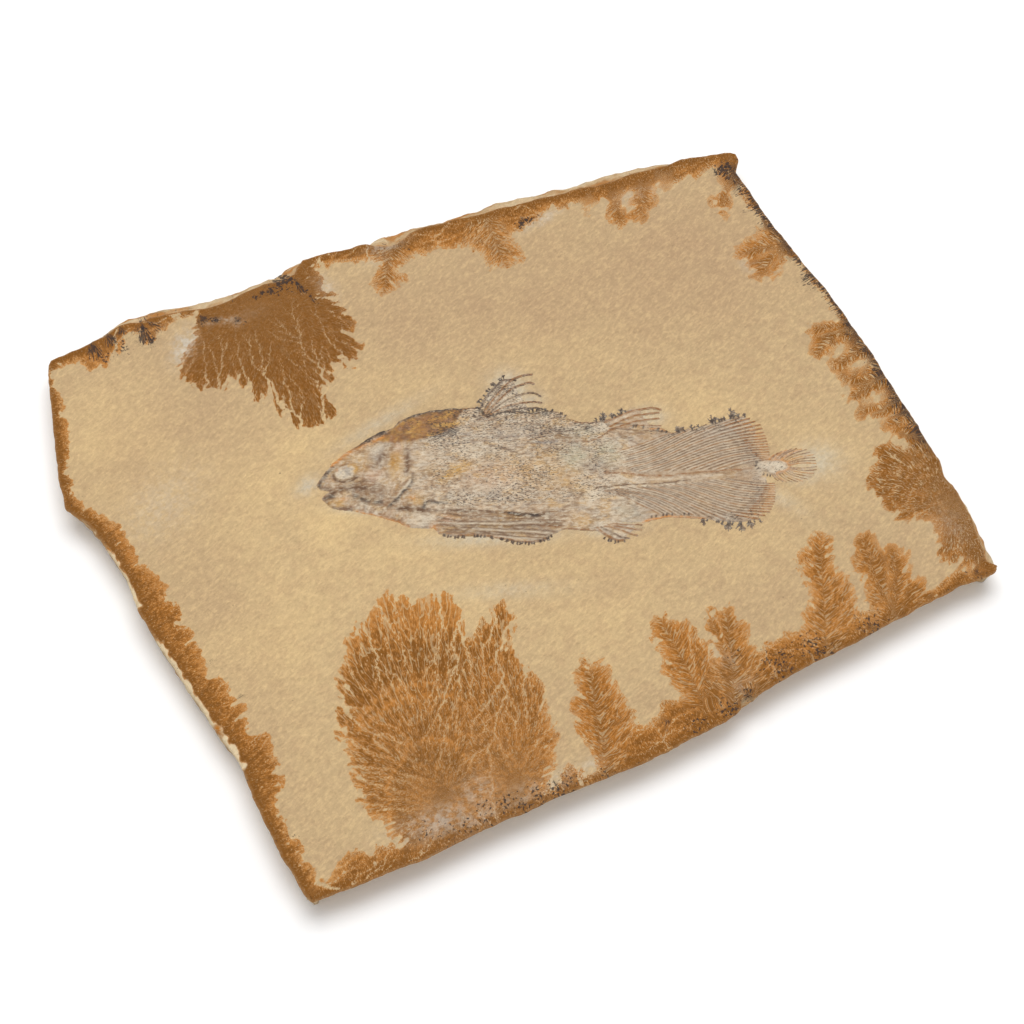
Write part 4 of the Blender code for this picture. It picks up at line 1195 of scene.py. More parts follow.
    relief = n.plus(n.times(n.noise(place, 175.0, 2.0, 0.5), 2.6), n.times(grain["Height"], 0.55))
    relief = n.plus(relief, n.times(ripple, 1.6))
    relief = n.plus(relief, n.times(n.times(layers, wall), 0.9))
    close_material(n, colour, shade, {"Strength": 0.8, "Distance": 0.0008, "Height": relief},
                   {"Roughness": 0.78, "Specular IOR Level": 0.25})
    return material


# ---- The fish ----------------------------------------------------------------------------------

# The snout's place on the slab, and the turn from the slab's long way to the fish's, in degrees.
SNOUT = (-95.0, 37.5)
FISH_TURN = -21.5
FISH_STEP = 0.45             # spacing of the fish's own grid
FISH_FLOOR = TOP - 1.65      # flat underside

# Outlines in the fish's frame: U from the snout to the tail, V towards the back.
BODY = pairs(
    1.8, 0, 3.4, 3.5, 6.4, 8.6, 9.2, 13.2, 18.7, 20.8, 28.7, 27.8, 35.7, 31.4, 42.7, 34, 46.2, 38,
    54.3, 41.6, 63.3, 44.1, 73.5, 44.8, 89.5, 45.1, 95, 38.5, 104, 40.5, 112, 41, 119.4, 40,
    125.5, 41.9, 133.9, 39.7, 140.4, 34.8, 145.2, 32.2, 155, 31.9, 161, 32.7, 163, 27, 172, 20,
    180, 5, 180, -12, 172, -30, 160, -33.5, 149.6, -35.5, 143, -35.8, 136.6, -34.5, 128, -33,
    118, -30, 100, -27, 80, -24, 66.6, -30.5, 58, -30.8, 49.1, -29.5, 43.9, -25.9, 37.2, -23.3,
    26.6, -20, 18, -17.2, 11.5, -15.8, 7, -13.5, 4.8, -10, 5.4, -8, 8.6, -5.3, 6.6, -4.4,
    3.4, -3.6)
BELLY_FIN = pairs(
    60, -20, 63.5, -31.4, 65.6, -34.3, 70.5, -36.1, 80.1, -36.6, 87.8, -35.9, 94.5, -37.3,
    101.6, -39.9, 107.8, -41.9, 114, -42.4, 122.4, -40.6, 127.3, -37.9, 133.3, -34.9, 138, -30,
    128, -24.4, 100, -22, 75, -20)
FIRST_DORSAL = pairs(
    90, 36, 89.7, 40.1, 90.4, 43.7, 93.6, 50, 96.3, 54.6, 100, 58.5, 103.6, 61.9, 107.2, 62.9,
    111, 60.5, 113, 54, 115, 50, 117, 45.5, 119, 41, 105, 39)
SECOND_DORSAL = pairs(
    158, 31, 161, 32.7, 167.2, 35.9, 171.3, 38, 175.5, 39.6, 180, 39.8, 182, 34, 184, 30, 190, 27,
    197, 23.5, 176, 18, 162, 22)
ANAL_FIN = pairs(
    147, -34, 152, -37, 156, -40.5, 160, -43, 164.5, -43, 168, -39.5, 172, -36, 168, -34, 160, -30)
TAIL_FIN = pairs(
    160, 27, 178, 25.4, 191, 25.5, 197.5, 23, 203.9, 23.5, 212.4, 25.6, 219.8, 28.4, 225.4, 30,
    230.6, 31.2, 236, 31.8, 239.5, 29, 242.5, 24, 244, 18, 245, 12, 245.5, 5, 246, -6, 245.5, -12,
    245, -18, 244, -24, 242, -29, 238.5, -34, 230.4, -35.5, 218.7, -34.3, 209.4, -32.5,
    205.6, -31.4, 198.1, -30.2, 192.4, -29.9, 184.7, -30.4, 178.9, -31.8, 172, -33, 160, -31)
TAIL_LOBE = pairs(
    240, 2.5, 248.4, 2.5, 254, 3.4, 258.2, 1.6, 260.1, -1.6, 257.7, -4.6, 252, -6.2, 247, -6.3,
    240, -6.8)
FISH_PARTS = (BODY, BELLY_FIN, FIRST_DORSAL, SECOND_DORSAL, ANAL_FIN, TAIL_FIN, TAIL_LOBE)

# Raised oval plates of the skull: place, half length, half width, degrees, height.
SKULL_PLATES = (
    (16.0, 6.2, 6.6, 5.4, 12, 0.95), (33.5, 16.0, 6.0, 4.5, 60, 0.75),
    (44.0, 9.5, 10.0, 3.8, 84, 0.8), (29.0, -5.5, 8.5, 4.6, 10, 0.55),
    (27.0, 8.0, 6.0, 5.0, 40, 0.35), (12.0, -11.5, 8.0, 3.2, 5, 0.45),
    (38.0, -19.5, 9.0, 3.0, -30, 0.35), (60.0, -24.5, 6.0, 3.8, -20, 0.45),
    (151.0, -15.5, 6.5, 4.0, 20, 0.55), (158.0, 28.0, 5.0, 3.0, 20, 0.45),
    (52.0, 22.0, 6.0, 9.0, 0, 0.25), (74.0, 8.0, 20.0, 9.0, 8, 0.3),
    (112.0, 2.0, 26.0, 12.0, 4, 0.3), (98.0, 27.0, 22.0, 8.0, -4, 0.25),
)
# Soft patches of colour on the fish: colour, place, half length, half width, degrees, weight.
FISH_PATCHES = (
    ("umber", 20, -1.5, 13, 3.0, 6, 0.3), ("umber", 30, -7, 9, 4.5, 8, 0.42),
    ("ochre", 24, 14, 16, 9, 35, 0.35), ("grey", 34, 17, 6.5, 4.5, 55, 0.85),
    ("light", 33, 19.5, 4.0, 3.0, 30, 0.6), ("ochre", 43.5, 10, 4.2, 9.5, -6, 0.95),
    ("rust", 43.0, 12, 2.8, 6.0, -6, 0.4), ("light", 37.5, 0, 4.0, 5.0, 20, 0.35),
    ("pink", 31, 3, 6, 4, 10, 0.35), ("pink", 45, 20, 2.5, 3.5, 0, 0.4),
    ("dim", 29.5, -6, 8, 4.2, 10, 0.45), ("umber", 26, -3.6, 8, 1.6, 6, 0.35),
    ("ochre", 12, -12.5, 7, 3.0, 10, 0.65), ("orange", 15, -10.5, 2.5, 1.5, 0, 0.55),
    ("ochre", 55, -13, 6.0, 3.5, -10, 0.55), ("orange", 52.5, -12, 2.2, 1.6, 0, 0.5),
    ("light", 57, -25.5, 7, 4, -20, 0.75), ("orange", 63, -30.5, 1.9, 2.2, 0, 0.9),
    ("rust", 66, -28, 3.5, 2.5, 30, 0.5), ("pink", 71.5, -26, 4.5, 3.0, 0, 0.45),
    ("ochre", 77, 3.0, 11, 4.0, 32, 0.55), ("ochre", 62, 5, 5, 4, 0, 0.35),
    ("rust", 70.5, -8.5, 2.0, 1.6, 0, 0.75), ("dim", 66, -5.5, 4.5, 1.6, -10, 0.6),
    ("light", 92, 15, 20, 5, -6, 0.45), ("light", 86, -9, 22, 5, 0, 0.35),
    ("grey", 88, -12, 14, 3.5, 0, 0.35), ("light", 60, 16, 9, 8, 0, 0.3),
    ("ochre", 112, 3, 24, 9, 0, 0.28), ("pink", 98, -1, 20, 8, 0, 0.25),
    ("grey", 108, 29, 24, 7, -4, 0.35), ("umber", 136, 24, 7.5, 5.0, 10, 0.62),
    ("dim", 128, 17, 10, 6, 0, 0.35), ("green", 142, 10, 8.5, 7.5, 0, 0.75),
    ("green", 160.5, 11, 8.0, 8.0, 0, 0.7), ("green", 148, 26, 8, 3.5, -10, 0.55),
    ("umber", 150.5, 1.5, 3.8, 2.6, -10, 0.62), ("grey", 150.5, 3, 7.0, 4.5, 0, 0.5),
    ("light", 151, -15, 6.0, 6.0, 20, 0.95), ("light", 147, -9, 6.0, 3.2, 20, 0.6),
    ("light", 158, 28, 7.0, 3.2, 10, 0.75), ("light", 156, 20, 6.0, 3.0, 0, 0.3),
    ("ochre", 134, -3, 12, 7, 0, 0.45), ("ochre", 145, -12, 6, 3, 0, 0.4),
    ("rust", 161, -2.0, 4.5, 2.0, -10, 0.55), ("light", 166, -5.5, 5.0, 1.8, 0, 0.7),
    ("light", 176, 3, 9, 5, 0, 0.35), ("ochre", 144, -31, 8, 4.5, 0, 0.45),
    ("green", 168, -27, 8, 6, 0, 0.35), ("grey", 180, -22, 14, 7, 0, 0.3),
    ("light", 155, -33, 4.5, 2.2, 0, 0.8), ("grey", 226, 24, 16, 6, 12, 0.55),
    ("grey", 240, 12, 4.5, 16, 0, 0.5), ("grey", 241, -22, 3.5, 12, 0, 0.45),
    ("grey", 224, -33, 18, 3, 0, 0.4), ("light", 250, -1.6, 9.0, 3.4, 0, 0.65),
    ("umber", 100, -33, 30, 3.0, -5, 0.35), ("dim", 118, -31, 16, 6, -5, 0.45),
    ("orange", 17, 19, 9, 1.6, 38, 0.4),
)
# Where the fish is thick with specks: place, reach, weight.
SPECK_SPOTS = (
    (128, 40, 6, 0.75), (196, 23, 6, 0.5), (212, 25, 6, 0.5), (222, 27.5, 6, 0.5),
    (233, 29.5, 5, 0.55), (226, -33, 6, 0.5), (214, -32, 5, 0.45), (236, -31, 5, 0.5),
    (186, 26, 7, 0.4), (52, 36, 9, 0.5), (68, 40, 9, 0.5), (28, 27.5, 5, 0.8),
    (36, 31, 4, 0.8), (74, 29.5, 8, 0.7), (5, 6, 3, 0.6),
)
# The reddish bone behind the skull.
NAPE = pairs(
    31, 24.5, 37, 29, 42.5, 33.8, 50, 38.8, 61.5, 42.8, 72.5, 44.2, 82, 44.4, 80, 40, 77.5, 35,
    79.5, 32.5, 74, 31, 69, 28, 63.5, 26.5, 58, 24.5, 53.5, 23, 48, 24, 42.5, 23.5, 37, 24.5)
EYE = (16.0, 6.2, 6.2, 5.0, 12)
# Lines on the fish: colour, half width, weight, height, points.
FISH_LINES = (
    ("black", 1.1, 0.85, 0.22, 1.8, -1, 3.4, 2.4, 6, 6.6, 9, 10.2),
    ("umber", 1.0, 0.6, 0.12, 2.4, -2.5, 4.6, -3.2, 7, -3.6),
    ("umber", 1.4, 0.85, 0.3, 4.8, -9.3, 7, -7.5, 10, -5.6, 14.8, -4.5, 21, -4, 27, -4.5),
    ("black", 1.3, 0.75, 0.1, 5, -10, 6.6, -9.3, 8.6, -8.5),
    ("umber", 0.8, 0.6, 0.1, 5.4, -11.5, 8, -14.6, 12.8, -16.2, 19, -17),
    ("umber", 1.2, 0.52, 0.0, 33, 29.8, 37.5, 32.4, 42.5, 35.6, 46.5, 38.6, 54, 41.4, 63, 43.6,
     73, 44.5, 83, 44.8),
    ("black", 0.8, 0.5, 0.0, 37, 31.8, 42, 34.6, 47, 38, 54, 40.6, 63, 42.8, 72, 43.8),
    ("black", 1.5, 0.7, 0.3, 21, -9, 24.5, -11.5, 29.5, -13, 35, -13.5),
    ("umber", 1.0, 0.55, -0.25, 8, -4.6, 14, -3.0, 20, -1.8, 27, 0.2),
    ("umber", 0.75, 0.8, -0.25, 9.3, 4.5, 10.5, 1.6, 14.5, 0.0, 19.5, 0.4, 23, 3.2),
    ("dim", 0.7, 0.5, 0.0, 9.8, 5.5, 11, 9, 15, 11.2, 19, 11.5),
    ("ochre", 1.3, 0.7, 0.1, 21.5, 6.0, 22.2, 8.2, 20.6, 10.2, 18.4, 10.0),
    ("orange", 1.3, 0.85, 0.0, 8.5, 12, 17, 19, 24, 22.5, 30.5, 25, 37, 27.8),
    ("umber", 1.6, 0.75, 0.0, 20, 21.8, 24, 24.2, 28, 26.8, 33.5, 29.6, 37, 31.2),
    ("black", 0.8, 0.5, 0.0, 22, 23.6, 28, 27.4, 33.5, 30, 36, 30.8),
    ("orange", 0.8, 0.8, 0.0, 21.5, -18.3, 28.5, -21, 35.5, -22.8, 43, -25.5, 49, -29.3),
    ("rust", 0.7, 0.55, 0.0, 34, -20.5, 40, -23, 45, -25.5, 49, -28),
    ("umber", 1.0, 0.75, -0.2, 31.5, 8.5, 34.5, 11.5, 35.5, 14, 37.5, 16),
    ("dim", 1.3, 0.6, -0.15, 38.5, 4, 38, 10, 39, 17, 42, 21),
    ("umber", 1.6, 0.7, 0.15, 49.8, 19, 50.2, 13, 50.5, 8, 49.8, 4),
    ("black", 1.1, 0.8, 0.35, 53, 2.5, 53.2, -1, 50, -5, 46.5, -9, 43, -13.5, 39.5, -16.5),
    ("dim", 0.8, 0.8, 0.2, 49.5, -1.5, 45, -6, 41.5, -10, 38.5, -14),
    ("light", 0.7, 0.6, 0.1, 51, -1.5, 47.5, -6, 44, -10.5),
    ("umber", 1.7, 0.9, 0.1, 44, -18.6, 48.5, -18.2, 54, -19.4, 57.5, -20.3),
    ("black", 1.0, 0.75, 0.3, 57.8, -18.5, 59, -14.8, 62.5, -14.2, 66.5, -16, 70.5, -15.6),
    ("umber", 1.0, 0.85, 0.3, 60, -19.5, 66, -20.6, 72, -20.8, 85.5, -21.6, 97, -23, 107.5, -24.5,
     116.5, -26, 121, -25.5),
    ("black", 0.9, 0.9, 0.2, 104, -24.2, 110, -25.2, 117, -26.4, 121, -25.8, 126, -24.6),
    ("dim", 0.8, 0.75, 0.15, 121, -25.5, 129, -24, 136, -21.5, 141, -18, 145, -14),
    ("umber", 0.6, 0.7, 0.1, 95.5, 19, 100.5, 17.7, 108, 15.2, 111.5, 13.2),
    ("grey", 1.0, 0.6, 0.0, 81, 26.5, 88, 25.2, 101, 24.2, 110, 24.5),
    ("grey", 0.8, 0.6, 0.0, 68, 20.5, 80, 21, 92, 22, 104, 21.5),
    ("dim", 0.7, 0.5, 0.0, 84, 33, 98, 32.5, 112, 32.8, 124, 33.5),
    ("grey", 1.0, 0.7, 0.0, 120, 20.5, 126, 19.5, 133, 20.2),
    ("ochre", 1.0, 0.8, 0.0, 64.5, 32.5, 70, 34, 76.5, 34.6, 79.5, 34),
    ("black", 0.9, 0.55, 0.0, 58, 24, 67, 26.8, 73.5, 29.2, 80, 30.8),
    ("ochre", 0.9, 0.7, 0.1, 68, -1.5, 75, 2.8, 84, 7),
    ("ochre", 0.7, 0.6, 0.1, 71, 3.0, 77, 6, 82, 8.4),
    ("rust", 0.5, 0.75, 0.15, 143, 20, 150, 19.5, 155, 20.5, 159.5, 24, 161.5, 25.8),
    ("umber", 0.4, 0.5, 0.08, 162, 25.5, 172.5, 19.8, 176.5, 17.3, 180.5, 14.8),
    ("umber", 0.35, 0.45, 0.08, 162, 25.5, 171.5, 22.2, 180.5, 18.4),
    ("dim", 0.4, 0.5, 0.05, 161, 24.5, 168, 18, 173, 12.5),
    ("umber", 0.7, 0.6, 0.15, 162, 30, 169, 30.6, 177, 29.5),
    ("rust", 0.6, 0.75, 0.3, 158, -1.8, 166, -1.8, 172, -2.5, 183, -3.8, 193, -4.4, 203, -3.8,
     213.5, -3.2, 225, -3.0, 238, -2.2),
    ("umber", 0.55, 0.8, 0.25, 152, -11, 158, -10.6, 165, -10.2, 175.5, -9.4, 186.5, -9.2,
     193, -8.6, 204, -8),
    ("light", 0.7, 0.8, 0.1, 166, -11.5, 175.5, -10.8, 186.5, -10.4, 195, -9.6),
    ("light", 0.6, 0.55, 0.0, 175, -6.2, 188, -6.6, 205, -5.8, 222, -5.2),
    ("rust", 0.45, 0.8, 0.2, 120.5, -32.6, 128, -33.6, 133.5, -34.4, 143.5, -36.2, 150.5, -36),
    ("orange", 0.55, 0.9, 0.15, 176, -32.8, 185, -30.8, 195, -30.1, 204, -31.2, 209.5, -32.6),
    ("rust", 0.45, 0.7, 0.15, 142, 34.2, 144.5, 32.3, 151, 31.8, 158, 32.3, 165.5, 35),
    ("orange", 0.45, 0.65, 0.0, 185, 26.5, 191.5, 25.6, 197.5, 23.2, 203.5, 23.6),
    ("orange", 0.8, 0.7, 0.0, 83, 44.8, 87, 45.2, 90, 44.5),
    ("dim", 0.9, 0.5, 0.0, -6.5, -5.5, -3.5, -4.8, -1, -3.3),
    ("black", 1.3, 0.7, 0.0, 149.4, 27.6, 150.6, 29, 152, 27.4),
)
FIN_LINES = (
    ("umber", 0.55, 0.9, 0.35, 91, 36.5, 90.6, 41, 92.3, 46, 95.8, 52, 100, 57.2, 104.5, 61.8,
     107.5, 62.6, 112, 62),
    ("rust", 0.55, 0.85, 0.35, 92.3, 39, 98, 48.5, 104, 56, 109, 61.5, 112, 63.4, 117.3, 65.4,
     121.4, 65.6),
    ("rust", 0.55, 0.85, 0.35, 94.2, 39.9, 103.6, 50.6, 109.9, 56.8, 115, 58.9, 119.6, 60.5,
     122, 59.2),
    ("umber", 0.5, 0.85, 0.35, 95.1, 38.8, 101.4, 45.5, 108.1, 49.8, 113.7, 51.9, 117.7, 53.2,
     121.7, 53.6, 125.5, 50.7),
    ("rust", 0.5, 0.85, 0.35, 95.1, 38.2, 102.8, 43.6, 109.3, 45.7, 115.4, 46.5, 119.9, 47.4,
     125.6, 46.3),
    ("umber", 0.45, 0.8, 0.3, 101.2, 40.7, 109.1, 42.1, 115.7, 43, 123.1, 43.2, 125, 41.9),
    ("umber", 0.45, 0.8, 0.3, 107.1, 41, 113.1, 40.5, 119.4, 39.2, 124.4, 39.6),
    ("umber", 0.35, 0.7, 0.25, 92, 38, 94.5, 45, 99, 52, 104, 58.5),
    ("dim", 0.35, 0.7, 0.25, 93.5, 38, 98, 45.5, 103, 51.5, 108, 58),
    ("rust", 0.5, 0.9, 0.35, 162, 26.5, 173.5, 30.5, 181.5, 32.6, 190, 33),
    ("rust", 0.5, 0.9, 0.35, 162.5, 28.5, 170.5, 33, 178, 35.5, 186, 36.6, 190.3, 37),
    ("rust", 0.55, 0.9, 0.35, 160, 31.5, 164, 33.4, 169.5, 36, 176, 38.4, 183, 39.9, 188, 40.2,
     191.5, 38.8),
    ("rust", 0.35, 0.7, 0.25, 162.5, 26, 172, 28.5, 181.5, 29, 191, 28.2),
    ("umber", 0.4, 0.7, 0.25, 162.6, 27.4, 170, 26.8, 178.4, 25.6, 189, 24.6, 194, 23.8),
    ("rust", 0.55, 0.9, 0.35, 151.5, -35, 154, -38, 158, -41.5, 162, -43.6, 165, -43.4),
    ("umber", 0.5, 0.85, 0.35, 153.5, -34.8, 159, -38.4, 164, -41.8, 168, -42.4),
    ("rust", 0.5, 0.9, 0.35, 155.5, -34.3, 163, -37, 169, -39.6, 172.5, -40.8),
    ("rust", 0.5, 0.85, 0.35, 157.5, -33.8, 165.5, -35.8, 170, -36.8, 175, -37.4),
    ("rust", 0.4, 0.8, 0.3, 159, -33, 166, -33.9, 172, -34.2, 175.5, -34.6),
    ("umber", 0.55, 0.8, 0.35, 65.5, -24.5, 77, -27.5, 94, -29, 112, -29.5, 130.5, -31),
    ("umber", 0.45, 0.8, 0.35, 66, -27, 80.5, -30, 98.5, -31.4, 116, -31.8, 132, -33),
    ("umber", 0.45, 0.75, 0.3, 67, -29, 80.5, -31.5, 98.5, -33.5, 116, -34.5, 129.5, -36.5),
    ("umber", 0.45, 0.8, 0.3, 68.5, -32, 80.5, -33.8, 98, -35.4, 114, -37, 126, -38.6),
    ("umber", 0.4, 0.75, 0.3, 68, -33.5, 80, -35.2, 92, -35.6, 104, -38.4, 114, -39.4, 124, -40),
    ("rust", 0.5, 0.75, 0.35, 66, -34, 75.5, -36, 89, -36.4, 102.5, -40, 113, -42.2, 119, -41.8,
     123, -40.6),
    ("umber", 0.4, 0.7, 0.3, 72, -23, 90, -25.4, 108, -27.4, 124, -28.8, 134, -30.5),
    ("dim", 0.4, 0.7, 0.25, 70, -22.5, 88, -23.6, 106, -25.6),
    ("umber", 0.4, 0.7, 0.3, 100, -36.6, 112, -40, 120, -41.2),
    ("light", 0.45, 0.7, 0.1, 70, -28.2, 86, -29.6, 104, -30.2, 120, -30.4),
    ("light", 0.4, 0.7, 0.1, 84, -32.6, 100, -34.4, 116, -35.8, 127, -37.4),
    ("light", 0.4, 0.7, 0.1, 98, -38, 108, -39.6, 118, -40.6),
)
# Some rays of the tail's two lobes, each as five points from root to tip, and their spacing;
# the others lie evenly between them.
TAIL_RAYS = (
    ((166, 12, 176, 15.5, 185, 19, 192, 21.8, 199, 23.4),
     (172, 9, 182, 12, 190, 15.3, 201.3, 21.4, 212, 27),
     (168, 4, 185, 8.6, 202, 17, 219, 25.5, 238.6, 31.6),
     (171.5, 1.5, 188, 6, 206, 14.6, 224, 20.8, 246, 26),
     (175, -0.5, 192, 4, 212.9, 13, 229, 17.6, 247.6, 19.5),
     (193.3, -1.4, 207, 4, 219, 8.6, 232, 11.2, 248.8, 12.2),
     (209.6, -1.1, 219, 2.6, 228, 5.4, 237, 6.6, 248.9, 6.8),
     (224, -2, 232, 0.4, 238, 2, 243, 2.8, 248.5, 3.6)),
    ((157, -13, 166.8, -16.5, 172, -19.5, 177.4, -22.9, 185, -28),
     (166, -12, 180, -15, 190, -19, 199, -24, 207, -30.5),
     (174.3, -11.1, 186.2, -14, 197.8, -20.4, 209.2, -28, 219, -33.6),
     (180, -10.8, 193, -14.4, 206, -22, 221, -30, 239.5, -34.2),
     (186.5, -10.5, 199, -14.2, 213, -22.4, 228, -28.4, 245.4, -30),
     (198.7, -9.9, 210.5, -14, 223, -20.2, 235, -22.9, 248.6, -23.6),
     (210.9, -9.4, 221, -12.8, 231, -16, 240, -17.4, 249.6, -17.6),
     (224, -8, 231, -9.6, 238, -11.2, 244, -12, 249.9, -12.2)),
)
RAY_SPACING = 1.4
# The tuft behind the tail: root and tip of some rays, with others between.
TUFT_RAYS = (
    (248.6, 3.0, 251.6, 6.4), (250.5, 3.2, 256.9, 8.8), (253.5, 3.0, 263.3, 9.8),
    (256, 2.4, 269.7, 9.0), (258, 1.0, 273.5, 4.8), (259.4, -0.8, 274.1, 0.6),
    (259.4, -2.6, 274, -4.0), (257.8, -4.2, 270.6, -8.8), (255.4, -5.4, 264.4, -11.8),
    (252, -6.2, 257.4, -11.6), (249.2, -6.4, 252.2, -10.4),
)
TUFT_RIM = pairs(250, 2.6, 255, 2.9, 258.6, 0.8, 259.4, -2, 257.6, -4.2, 252, -5.6)
# Black bushes beside the fins: root and tip of each stem.
BUSHES = (
    (159.3, 33.2, 159.4, 39), (169.4, 36.6, 169.8, 41), (208, 24.4, 207.8, 28.4),
    (219.2, 28, 219.4, 34), (230.2, 31.2, 230.8, 38.4), (209.4, -32.6, 209, -36.8),
    (222.4, -34.8, 222, -41), (229.4, -35.4, 229, -42), (234.4, -35, 235.2, -40),
)
# Fringes of small sprigs: spacing, least and greatest height, and the edge that they stand on,
# with the outside on its left.
FRINGES = (
    (1.7, 1.4, 3.6, 150, 32, 158, 32.4, 166, 35.2, 172, 38.2),
    (2.0, 0.8, 2.2, 175, 28.4, 184, 26.4, 194, 23.6),
    (2.1, 2.2, 4.8, 198, 23, 206, 24, 214, 26.6, 222, 29, 232, 31.4, 238, 31.8),
    (1.6, 1.0, 2.6, 88, 37, 89.4, 42, 92.6, 49.6, 97.4, 57, 103.4, 63, 108, 64),
    (1.8, 0.8, 1.6, 117, 41, 125, 42, 133, 40.4, 139, 36.4),
    (1.5, 0.7, 1.7, 127, -38.6, 121, -41.6, 113, -43, 104, -41.2, 95, -38, 86, -36.6, 76, -37,
     67, -35),
    (1.8, 1.0, 2.4, 240, -34.4, 231, -36, 219, -34.8, 208, -32.6),
    (2.0, 0.6, 1.4, 166, -44, 160, -44.2, 155, -41.4),
    (2.2, 0.6, 1.4, 180, -30.4, 192, -28.8, 206, -30),
    (2.0, 0.5, 1.2, 243, 3.2, 240, 0, 243, -6, 248, -7.4),
)


class FishSizes(bpy.types.PropertyGroup):
    """Heights of the fish above the bed."""
    body_height: FloatProperty(name="Body height", description="Rise of the body above the bed",
                               default=0.0015, min=0.0, max=0.004, unit="LENGTH")
    fin_height: FloatProperty(name="Fin height", description="Rise of the fin membranes",
                              default=0.00025, min=0.0, max=0.002, unit="LENGTH")
    ray_height: FloatProperty(name="Ray height", description="Rise of a fin ray on its membrane",
                              default=0.00035, min=0.0, max=0.002, unit="LENGTH")


class FishColours(bpy.types.PropertyGroup):
    """Colours of the mineralised fish."""
    flesh: colour_property("Flesh", "Scaled body", tint(189, 162, 131))
    light: colour_property("Light", "Bare bone and membrane", tint(210, 195, 171))
    dim: colour_property("Dim", "Shaded scales and bone", tint(138, 109, 82))
    umber: colour_property("Umber", "Brown bone lines", tint(96, 68, 46))
    black: colour_property("Black", "Manganese on the bone", tint(58, 50, 46))
    rust: colour_property("Rust", "Iron-stained bone", tint(140, 90, 42))
    orange: colour_property("Orange", "Bright iron stain", tint(196, 130, 62))
    ochre: colour_property("Ochre", "Ochre bone", tint(196, 152, 82))
    grey: colour_property("Grey", "Bluish grey film", tint(153, 144, 134))
    green: colour_property("Green", "Greenish grey film", tint(174, 170, 146))
    pink: colour_property("Pink", "Pinkish bone", tint(202, 160, 134))


def to_fish(x, y):
    """The slab's plan in the fish's frame."""
    turn = math.radians(FISH_TURN)
    dx, dy = x - SNOUT[0], y - SNOUT[1]
    return (dx * math.cos(turn) + dy * math.sin(turn),
            dy * math.cos(turn) - dx * math.sin(turn))


def to_slab(u, v):
    """The fish's frame in the slab's plan."""
    turn = math.radians(FISH_TURN)
    return (SNOUT[0] + u * math.cos(turn) - v * math.sin(turn),
            SNOUT[1] + u * math.sin(turn) + v * math.cos(turn))


def fish_depth(u, v):
    """How far inside the whole fish's outline each place is, negative outside it."""
    return np.max([outline_depth(outline, u, v) for outline in FISH_PARTS], axis=0)


def softened(points):
    """A polyline whose corners are cut twice, at a quarter of each side, with its ends kept."""
    points = np.array(points, float)
    for _ in range(2 if len(points) > 2 else 0):
        early = points[:-1] * 0.75 + points[1:] * 0.25
        late = points[:-1] * 0.25 + points[1:] * 0.75
        inner = np.stack([early, late], axis=1).reshape(-1, 2)
        points = np.concatenate([points[:1], inner[1:-1], points[-1:]])
    return points


